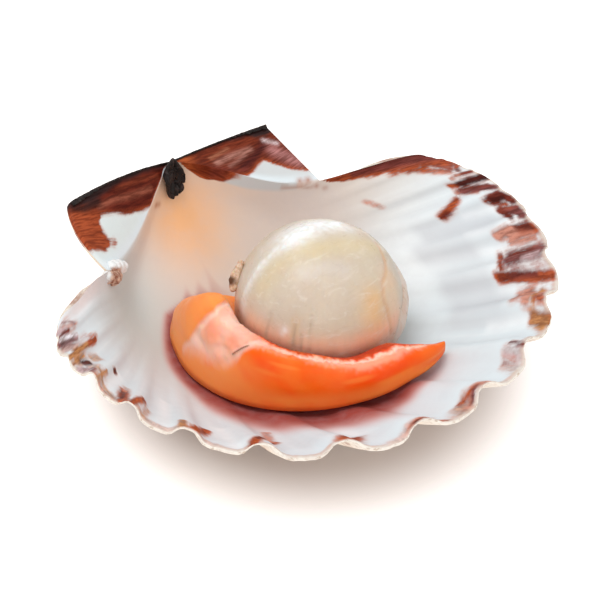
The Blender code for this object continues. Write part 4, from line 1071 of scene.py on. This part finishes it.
# %% Finish of the muscle
meat, tree = new_finish("wet_muscle", IOR=1.40, Subsurface_Weight=0.55, Subsurface_Scale=0.0028,
                        Subsurface_Radius=(1.0, 0.62, 0.40), Coat_Weight=0.12, Coat_Roughness=0.16,
                        Specular_IOR_Level=0.35)
threads = mottle(tree, 620, 3, (1, 1, 0.10), 0.6)
wrinkles = mottle(tree, 420, 4, (0.35, 1.0, 1.6), 0.65, 0.8)
soft = step(tree, mottle(tree, 150), 0.35, 0.70, 0.0, 0.22)
base = mix_colour(tree, soft, kept(tree, "paint", "Color"), (0.70, 0.62, 0.47))
base = mix_colour(tree, step(tree, threads, 0.40, 0.75, 0.0, 0.16), base, (0.50, 0.37, 0.28))
base = mix_colour(tree, step(tree, wrinkles, 0.52, 0.72, 0.0, 0.25), base, (0.82, 0.77, 0.70))
film_relief = calc(tree, "MULTIPLY", wrinkles, step(tree, kept(tree, "film"), 0.0, 0.9, 0.6, 2.0))
relief = bump(tree, threads, 0.00012, 0.5)
relief = bump(tree, film_relief, 0.00028, 0.6, relief)
wire(meat, Base_Color=base, Roughness=step(tree, wrinkles, 0.3, 0.7, 0.26, 0.42), Normal=relief)
muscle.data.materials.append(meat)

# %% [markdown]
# ## The catch muscle
#
# Beside the round muscle lies a thin crescent of a second, tougher muscle. It is a ball
# pressed flat against the round one and drawn out round it.

# %% Shape of the catch muscle
CATCH_ANGLE, CATCH_SPAN, CATCH_THICKNESS = math.radians(-20), math.radians(48), 0.0017
CATCH_TOP, CATCH_DROOP = 0.0040, 0.0050
CATCH_FOLD, CATCH_HOLLOW, CATCH_INSET = 0.0008, 0.0010, 0.0009


def catch_thickness(angle):
    """How far the catch muscle stands out from the round one in this direction."""
    off = np.abs((angle - CATCH_ANGLE + math.pi) % (2 * math.pi) - math.pi) / CATCH_SPAN
    return CATCH_THICKNESS * np.sqrt(np.clip(1 - off ** 2, 0, None))


catch = new_ball(128, 96)
ball = places_of(catch)
foot_angles = CATCH_ANGLE + CATCH_SPAN * np.linspace(-1, 1, 17)
foot = round_muscle_place(MUSCLE_BASE + CATCH_THICKNESS, foot_angles, 0)
bottom = height_of(valve_surface, foot[:, 0], foot[:, 1]).max() + GAP
angle = CATCH_ANGLE + CATCH_SPAN * ball[:, 0]
top = HINGE.z - CATCH_TOP - CATCH_DROOP * ball[:, 0] ** 2
z = blend(bottom, top, (ball[:, 2] + 1) / 2)
outward, inward = np.clip(ball[:, 1], 0, None), np.clip(-ball[:, 1], 0, None)
stand = (CATCH_THICKNESS + CATCH_FOLD) * outward ** 1.3 - CATCH_HOLLOW * inward
stand += 0.00025 * grain(as_places(angle * 16, z * 110, 0), 1.0, 8) * outward
reach = muscle_radius(z - HINGE.z) + stand - CATCH_INSET
move_to(catch, round_muscle_place(reach, angle, z))
finish_piece(catch, "catch_muscle_meat", "catch_muscle", 80)

# %% Finish of the catch muscle
sinew, tree = new_finish("wet_sinew", IOR=1.40, Subsurface_Weight=0.6, Subsurface_Scale=0.003,
                         Subsurface_Radius=(1.0, 0.60, 0.42), Coat_Weight=0.12, Coat_Roughness=0.14,
                         Specular_IOR_Level=0.35)
threads = mottle(tree, 520, 3, (1, 1, 0.12), 0.6)
wire(sinew, Normal=bump(tree, threads, 0.0002, 0.6), Roughness=step(tree, threads, 0.3, 0.7, 0.26, 0.42),
     Base_Color=mix_colour(tree, step(tree, threads, 0.30, 0.70), (0.64, 0.47, 0.36), (0.70, 0.60, 0.51)))
catch.data.materials.append(sinew)

# %% [markdown]
# ## The coral
#
# The coral is the roe sac, firm, glossy and orange, pointed at one end. It lies round the
# muscle on the floor of the bowl. A ball is drawn out along that curve, station by station:
# "t" runs from its tip (0) to its blunt end (1), and "turn" goes round its section, from the
# outer side (0) over the back (90 degrees) to the side at the muscle (180 degrees).

# %% Stations along the coral
CORAL_HEIGHT = (0.0062, 0.0118, 0.0128, 0.0160, 0.0190, 0.0220, 0.0240, 0.0094, 0.0030)
CORAL_POINT, CORAL_BLUNT = 0.13, 0.88
ROUNDNESS, BACK_LEAN = 0.75, 0.22
RIDGE_SPREAD = 0.0010


def station(values, t):
    """A smooth value between the stations from the tip (0) to the blunt end (1)."""
    values = np.array(values)
    where = np.clip(t, 0, 1) * (len(values) - 1)
    index = np.minimum(where.astype(int), len(values) - 2)
    before, first = values[np.maximum(index - 1, 0)], values[index]
    second, after = values[index + 1], values[np.minimum(index + 2, len(values) - 1)]
    f = where - index
    return 0.5 * (2 * first + (second - before) * f
                  + (2 * before - 5 * first + 4 * second - after) * f ** 2
                  + (3 * first - before - 3 * second + after) * f ** 3)

# %% Shape of the coral
coral = new_ball(140, 300)
ball = places_of(coral)
t = np.arccos(np.clip(ball[:, 2], -1, 1)) / math.pi
turn = np.arctan2(ball[:, 1], ball[:, 0])
beside = np.sign(np.cos(turn)) * np.abs(np.cos(turn)) ** ROUNDNESS
raised = np.clip(np.sin(turn), 0, None) ** ROUNDNESS
width = np.clip(t / CORAL_POINT, 0, 1) ** 0.6
width *= np.sqrt(1 - np.clip((t - CORAL_BLUNT) / (1 - CORAL_BLUNT), 0, 1) ** 2)
angle = blend(CORAL_TIP, CORAL_END, t)
outer_reach = station(CORAL_REACH, t)
inner_reach = MUSCLE_RADIUS + catch_thickness(angle) * 1.1 + 2 * GAP
middle = blend(CORAL_REACH[0], (inner_reach + outer_reach) / 2, np.clip(t / CORAL_POINT, 0, 1) ** 0.7)
height = station(CORAL_HEIGHT, t) * blend(0.5, 1, width)
radius = middle + (outer_reach - inner_reach) / 2 * width * (beside - BACK_LEAN * raised)
smooth_place = round_muscle_place(np.maximum(radius, inner_reach), angle, 0)
resting = height_of_ridges(smooth_place[:, 0], smooth_place[:, 1], RIDGE_SPREAD)
smooth_place[:, 2] = resting + 1.5 * GAP + height * raised
print("the coral is", round(float(np.ptp(smooth_place[:, 0])) * 1000), "mm from side to side")

# %% [markdown]
# Pale pink skin is left on the coral: a patch right across it, about two thirds of the way
# to the blunt end, with shallow dents and a short slit, and a torn strip along the muscle
# that runs nearly to the tip and has a crumbly edge. Both have outlines of their own, so they
# are drawn in t and degrees of turn, roughened with noise, and raised a little from the roe.

# %% Where the skin lies
turn_deg = np.degrees(turn)
skin_from = np.interp(t, [0.030, 0.062, 0.100, 0.138, 0.175, 0.244, 0.275, 0.306, 0.344, 0.381, 0.425,
                          0.481, 0.525, 0.545, 0.556, 0.581, 0.613, 0.650, 0.672, 0.706, 0.738],
                      [85, 66, 54, 46, 45, 50, 53, 63, 67, 74, 79, 76, 72, 52, 37, 25, 22, 19, 18, 13, 10])
skin_to_t = np.interp(turn_deg, [8, 12, 20, 36, 52, 76, 104, 130],
                      [0.742, 0.738, 0.713, 0.700, 0.690, 0.681, 0.712, 0.72])
skin_end = np.interp(t, [0, 0.156, 0.231, 0.319, 0.50, 0.54, 0.60, 0.66, 0.70],
                     [76, 77, 81, 88, 96, 104, 118, 128, 150])
torn = 6.5 * grain(smooth_place, 0.0022, 21) + 5.5 * grain(smooth_place, 0.0009, 25)
torn = torn * (1 - 0.7 * ramp(0.5, 0.58, t))
soft_edge = 11 - 3 * ramp(0.45, 0.60, t)
skin = ramp(-soft_edge, soft_edge, turn_deg - skin_from + torn) * fall(-0.004, 0.004, t - skin_to_t)
skin = skin * ramp(0.02, 0.05, t) * fall(-3, 3, turn_deg - skin_end + torn)
dents = (hump(t, 0.655, 0.022) * hump(turn_deg, 46, 16),
         0.8 * hump(t, 0.585, 0.018) * hump(turn_deg, 52, 18),
         0.7 * hump(t, 0.615, 0.014) * hump(turn_deg, 30, 8))
dent = np.max(dents, axis=0)
slit = hump(t - 0.569 + (turn_deg - 44) / 20 * 0.025, 0, 0.0022) * ramp(38, 44, turn_deg)
slit = slit * fall(64, 70, turn_deg)
fringe = hump(turn_deg, skin_end - 4, 9) * fall(0.48, 0.55, t) * ramp(0.06, 0.12, t)
print("skin on", int((skin > 0.5).sum()), "of", len(skin), "vertices")

# %% Relief of the coral
SKIN_RAISED, DENT_SUNK, SLIT_SUNK, ROE_SUNK = 0.00045, 0.0007, 0.0006, 0.00035
FRINGE_RAISED, FRINGE_TORN = 0.0002, 0.00048
move_to(coral, smooth_place)
out = normals_of(coral)
lump = 0.00035 * grain(smooth_place, 0.0085, 22) + 0.00012 * grain(smooth_place, 0.0030, 23)
lump = lump - ROE_SUNK + skin * (SKIN_RAISED - DENT_SUNK * dent) - SLIT_SUNK * slit
lump = lump + skin * ramp(0.48, 0.56, t) * 0.00042 * grain(smooth_place, 0.0023, 31)
lump = lump + skin * 0.00020 * grain(smooth_place, 0.0011, 24)
lump = lump + fringe * (FRINGE_RAISED + FRINGE_TORN * grain(smooth_place, 0.0010, 26))
lump = lump * ramp(5, 25, turn_deg) * fall(100, 130, turn_deg) * ramp(0.01, 0.05, t)
place = smooth_place + out * lump[:, None]
move_to(coral, place)
print("relief from", np.round(lump.min() * 1000, 2), "to", np.round(lump.max() * 1000, 2), "mm")

# %% Colours of the coral
ORANGE, FLAME, APRICOT_AND_PAINTED_LIGHT = (0.93, 0.135, 0.004), (0.95, 0.075, 0.002), (1.0, 0.30, 0.075)
PINK_SKIN, PALE_SKIN = (0.93, 0.34, 0.22), (0.94, 0.62, 0.50)
UNDERSIDE_PAINTED_SHADE, LIGHT_STREAK = (0.80, 0.10, 0.015), (1.0, 0.36, 0.07)
GAP_PAINTED_SHADE, SLIT_PAINTED_SHADE = (0.50, 0.030, 0.006), (0.16, 0.05, 0.03)
lengthwise = grain(as_places(t * 9, turn * 4.5, 0), 1.0, 29)
blotches = ramp(0.05, 0.55, grain(smooth_place, 0.0060, 30))
from_skin_end = turn_deg - skin_end + torn
edge_of_skin = np.maximum(hump(t, skin_to_t - 0.010, 0.010),
                          hump(turn_deg, skin_from + 12, 12) * ramp(0.45, 0.55, t))
pale = np.max((0.9 * edge_of_skin, 0.55 * ramp(0.52, 0.58, t) * (1 - 1.5 * dent),
               0.95 * fall(0.45, 0.52, t) * ramp(-16, -3, from_skin_end),
               0.95 * hump(t, 0.635, 0.04) * ramp(58, 80, turn_deg)), axis=0)
paint = coats(
    np.tile(ORANGE, (len(place), 1)),
    (FLAME, fall(0.22, 0.40, t) * ramp(0.05, 0.16, t) * ramp(8, 28, turn_deg)),
    (FLAME, 0.9 * hump(t, 0.475, 0.045) * hump(turn_deg, 48, 18)),
    # Lighter orange towards the blunt end and on the low outer side: partly the roe's own colour, partly
    # painted light.
    (APRICOT_AND_PAINTED_LIGHT, ramp(0.42, 0.62, t) * fall(24, 60, turn_deg)),
    (APRICOT_AND_PAINTED_LIGHT, 0.95 * ramp(0.64, 0.72, t)),
    (APRICOT_AND_PAINTED_LIGHT, 0.55 * hump(turn_deg, 6, 9) * ramp(0.04, 0.12, t)),
    # Painted shade: darker along the coral's underside.
    (UNDERSIDE_PAINTED_SHADE, 0.7 * fall(-6, 2, turn_deg) * fall(0.6, 0.75, t)),
    (LIGHT_STREAK, 0.34 * ramp(0.02, 0.50, lengthwise)),
    (FLAME, 0.35 * blotches * fall(0.60, 0.72, t)),
    (PINK_SKIN, skin),
    (PALE_SKIN, skin * np.clip(pale, 0, 1) * (1 - 0.9 * dent)),
    # Painted shade: dark red on the side towards the muscle beyond the skin, where the gap lies in shadow.
    (GAP_PAINTED_SHADE, fall(0.62, 0.70, t) * ramp(-2, 8, from_skin_end)),
    # Painted shade: dark inside the slit.
    (SLIT_PAINTED_SHADE, slit),
)
remember_colour(coral, "paint", paint)
finish_piece(coral, "coral_roe", "coral", 80)

# %% Finish of the coral
roe, tree = new_finish("wet_coral", IOR=1.40, Subsurface_Weight=0.30, Subsurface_Scale=0.0020,
                       Subsurface_Radius=(1.0, 0.25, 0.08), Coat_Weight=0.06, Coat_Roughness=0.15,
                       Specular_IOR_Level=0.20)
soft, grains = mottle(tree, 130, 3), mottle(tree, 1100, 3)
base = mix_colour(tree, step(tree, soft, 0.40, 0.75, 0.0, 0.20), kept(tree, "paint", "Color"),
                  (1.0, 0.34, 0.08))
wire(roe, Base_Color=base, Roughness=step(tree, soft, 0.3, 0.7, 0.30, 0.42),
     Normal=bump(tree, grains, 0.00010, 0.4))
coral.data.materials.append(roe)

# %% [markdown]
# ## The hinge
#
# Two dark, springy parts held the valves together: a wedge of rubbery ligament in a pit at
# the umbo, which pushed the shell open, and a thin strip along the whole hinge line. The
# wedge is a ball drawn into a ragged outline and pressed against the back wall, and its face
# is chipped like old rubber.

# %% Outline of the wedge
# Each row is a height, the wedge's left side there and its right side, in mm from the hinge.
WEDGE_OUTLINE = ((25.2, -6.0, -2.3), (25.8, -6.2, -0.9), (26.8, -6.0, -0.3), (28.0, -5.7, -0.8),
                 (28.8, -5.7, 0.2), (30.6, -6.1, 0.0), (32.0, -6.2, -0.4), (33.7, -5.3, -1.0),
                 (35.0, -4.4, -1.5), (36.0, -3.8, -1.9))
WEDGE_WIDER, WEDGE_THICKNESS, SQUARENESS = 0.0005, 0.0021, 0.6
REACH_ASIDE, REACH_BELOW, REACH_FROM = 0.0006, 0.0006, 0.030


def wall_y(x, z):
    """Where the back wall stands at this place across and this height."""
    far = []
    for shift in (-REACH_ASIDE, 0.0, REACH_ASIDE):
        start = Vector((x + shift, HINGE.y - REACH_FROM, min(z, HINGE.z - REACH_BELOW)))
        far.append(ridge_surface.ray_cast(start, Vector((0, 1, 0)))[0].y)
    return min(far)

# %% The wedge
wedge = new_ball(96, 96)
ball = places_of(wedge)
ball = np.sign(ball) * np.abs(ball) ** SQUARENESS
heights, lefts, rights = np.array(WEDGE_OUTLINE).T / 1000
z = blend(heights[0], heights[-1], (1 + ball[:, 2]) / 2)
left, right = np.interp(z, heights, lefts), np.interp(z, heights, rights) + WEDGE_WIDER
x = blend(left, right, (1 + ball[:, 0]) / 2)
y = np.array([wall_y(float(a), float(b)) for a, b in zip(x, z)]) - 2 * GAP
proud = (1 - ball[:, 1]) / 2
chips = np.array([noise.cell(Vector((a * 520, b * 300, 3.0))) for a, b in zip(x, z)])
ridge = 0.0006 * np.abs(np.sin((x - 0.35 * z) * 1900)) + 0.0005 * chips
y -= (WEDGE_THICKNESS - ridge + 0.0004 * grain(as_places(x, z, 0), 0.0022, 11)) * proud
move_to(wedge, as_places(HINGE.x + x, y, z))
finish_piece(wedge, "spring_wedge", "hinge_wedge", 25)

# %% The strip
STRIP_SHORTER, STRIP_ABOVE, STRIP_BEHIND = 0.001, 0.00012, 0.00005
STRIP_THIN, STRIP_THICK = 0.00045, 0.0016
strip = new_grid(240, 6)
top_side = double_sheet(strip)
flat = places_of(strip)
x = blend(EAR_LINE[0] + STRIP_SHORTER, EAR_LINE[1] - STRIP_SHORTER, (flat[:, 0] + 1) / 2)
share = (x - UMBO_X) / (by_side(x - UMBO_X, EAR_LINE) - UMBO_X)
frayed = grain(as_places(x * 1100, flat[:, 1], 0), 1.0, 13)
thick = blend(STRIP_THIN, STRIP_THICK, ramp(0.55, 0.95, share)) * (1 + 0.45 * frayed)
down_by = blend(0.00010 + thick, STRIP_BEHIND, (flat[:, 1] + 1) / 2)
crown = (0.35 * thick + 0.00015) * (1 - 0.8 * flat[:, 1] ** 2) * (1 + 0.35 * frayed)
z = HINGE.z + hinge_height(x - UMBO_X, share) + STRIP_ABOVE + crown * top_side
move_to(strip, as_places(HINGE.x + x, HINGE.y - down_by, z))
finish_piece(strip, "outer_ligament", "hinge_ligament", 40)

# %% Finish of the ligament
gum, tree = new_finish("dark_ligament", Roughness=0.50, IOR=1.5, Specular_IOR_Level=0.25)
flecks = mottle(tree, 900, 4, (1, 1, 0.4), 0.7)
base = mix_colour(tree, step(tree, flecks, 0.45, 0.75), (0.010, 0.006, 0.005), (0.050, 0.024, 0.018))
wire(gum, Base_Color=base, Normal=bump(tree, flecks, 0.0004, 0.7))
for piece in (wedge, strip):
    piece.data.materials.append(gum)

# %% [markdown]
# ## Two small things
#
# Where the left ear meets the shoulder, a white knob with a stained foot stands in the
# notch that the animal's threads once left by. And a dark scrap of gut was left hanging on
# the muscle when the fishmonger cut the rest away. Both are lumps, so a few balls are melted
# together with a remesh, which leaves one clean skin.

# %% Melting balls together and roughening them
def lumps(balls, voxel):
    """One skin round several balls, each given by its middle and its radius in millimetres."""
    parts = [new_ball(24, 16, radius / 1000, np.array(middle) / 1000) for middle, radius in balls]
    for part in parts:
        part.select_set(True)
    bpy.ops.object.join()
    piece = bpy.context.object
    bpy.ops.object.transform_apply(location=True, rotation=True, scale=True)
    melt = piece.modifiers.new("melt", "REMESH")
    melt.mode, melt.voxel_size = "VOXEL", voxel / 1000
    bpy.ops.object.modifier_apply(modifier="melt")
    soften = piece.modifiers.new("soften", "SMOOTH")
    soften.factor, soften.iterations = 0.5, 6
    bpy.ops.object.modifier_apply(modifier="soften")
    print(len(balls), "balls melted into", len(piece.data.polygons), "faces")
    return piece


def roughen(piece, *grains):
    """Moves the skin out and in by soft noise, given as height, size and seed; returns the places."""
    places = places_of(piece)
    height = sum(high * grain(places, size, seed) for high, size, seed in grains)
    places += normals_of(piece) * height[:, None]
    move_to(piece, places)
    return places

# %% The knob in the notch
KNOB_BALLS = (((-32.0, 38.8, 23.6), 1.5), ((-30.9, 39.3, 22.6), 1.9), ((-29.3, 39.9, 21.3), 2.0),
              ((-27.9, 40.4, 20.2), 1.7), ((-26.8, 40.8, 19.4), 1.2), ((-32.8, 37.4, 21.2), 2.2),
              ((-34.3, 37.0, 22.4), 1.9), ((-30.9, 38.3, 19.9), 1.6))
knob = lumps(KNOB_BALLS, 0.16)
place = roughen(knob, (0.00026, 0.0014, 41), (0.00010, 0.0005, 42))
foot = np.maximum(spot(place, (-32.9, 36.9, 20.9), 3.5), 0.8 * spot(place, (-25.6, 41.2, 19.9), 1.0))
remember(knob, "foot", np.clip(foot * 1.3, 0, 1))
chalk, tree = new_finish("chalky_knob", Roughness=0.6, Specular_IOR_Level=0.3)
crumbs = mottle(tree, 900, 4, roughness=0.65)
brown = mix_colour(tree, step(tree, crumbs, 0.35, 0.65), (0.22, 0.070, 0.035), (0.66, 0.44, 0.33))
crumbly_foot = calc(tree, "ADD", kept(tree, "foot"), calc(tree, "MULTIPLY_ADD", crumbs, 0.9, -0.45))
base = mix_colour(tree, step(tree, crumbly_foot, 0.35, 0.65), (0.80, 0.81, 0.80), brown)
wire(chalk, Base_Color=base, Normal=bump(tree, crumbs, 0.0002, 0.7))
knob.data.materials.append(chalk)
finish_piece(knob, "notch_knob", None, 70)

# %% The scrap of gut
GUT_LINE = ((-12.7, -10.9, -8.6), (13.2, 14.5, 15.4), (24.6, 27.2, 29.6))
string = np.linspace(0, 1, 27)
middles = as_places(*(np.interp(string, [0, 0.5, 1], way) for way in GUT_LINE))
fat = np.interp(string, [0, 0.3, 0.5, 0.75, 1], [0.95, 1.45, 1.40, 1.15, 0.80])
scrap = lumps(list(zip(middles, fat)), 0.13)
place = roughen(scrap, (0.00022, 0.0011, 51))
remember(scrap, "dark", spot(place, (-12.2, 14.2, 26.4), 1.7))
gut, tree = new_finish("brown_gut", Roughness=0.38, IOR=1.4, Subsurface_Weight=0.3,
                       Subsurface_Scale=0.001, Specular_IOR_Level=0.35)
crumbs = mottle(tree, 1500, 3)
base = mix_colour(tree, step(tree, crumbs, 0.35, 0.65), (0.56, 0.36, 0.23), (0.70, 0.52, 0.39))
base = mix_colour(tree, step(tree, kept(tree, "dark"), 0.30, 0.75), base, (0.115, 0.050, 0.022))
wire(gut, Base_Color=base, Normal=bump(tree, crumbs, 0.0002, 0.6))
scrap.data.materials.append(gut)
finish_piece(scrap, "gut_scrap", None, 70)

# %% [markdown]
# ## The floor
#
# A large white sheet, level with the lowest point of the shell, takes the soft shadow. The
# sheet also glows, and this glow is painted light, not a lamp: it makes the ground clean white
# and fades out under the shell. The shadow is a real one, and the glow makes its outer part
# fainter. The glow depends only on the distance from a point under the shell.

# %% The floor
GLOW_MIDDLE, GLOW_FROM, GLOW_TO, GLOW = (0.007, 0.006, 0.0), 0.042, 0.070, 0.80
bpy.ops.object.select_all(action="DESELECT")
bpy.ops.mesh.primitive_plane_add(size=8, location=(0, 0, 0))
sheet = bpy.context.object
sheet.name = "white_sheet"
sweep, tree = new_finish("white_sweep", Roughness=0.9, Specular_IOR_Level=0.2, Emission_Color=(1, 1, 1, 1))
base = mix_colour(tree, step(tree, mottle(tree, 30), 0.3, 0.7), (0.62, 0.56, 0.525), (0.63, 0.57, 0.535))
where = add_node(tree, "TexCoord").outputs["Object"]
from_shell = add_node(tree, "VectorMath", {0: where, 1: GLOW_MIDDLE}, operation="DISTANCE").outputs["Value"]
# Painted light: the sheet glows away from the shell and not under it.
wire(sweep, Base_Color=base, Emission_Strength=step(tree, from_shell, GLOW_FROM, GLOW_TO, 0.0, GLOW))
sheet.data.materials.append(sweep)
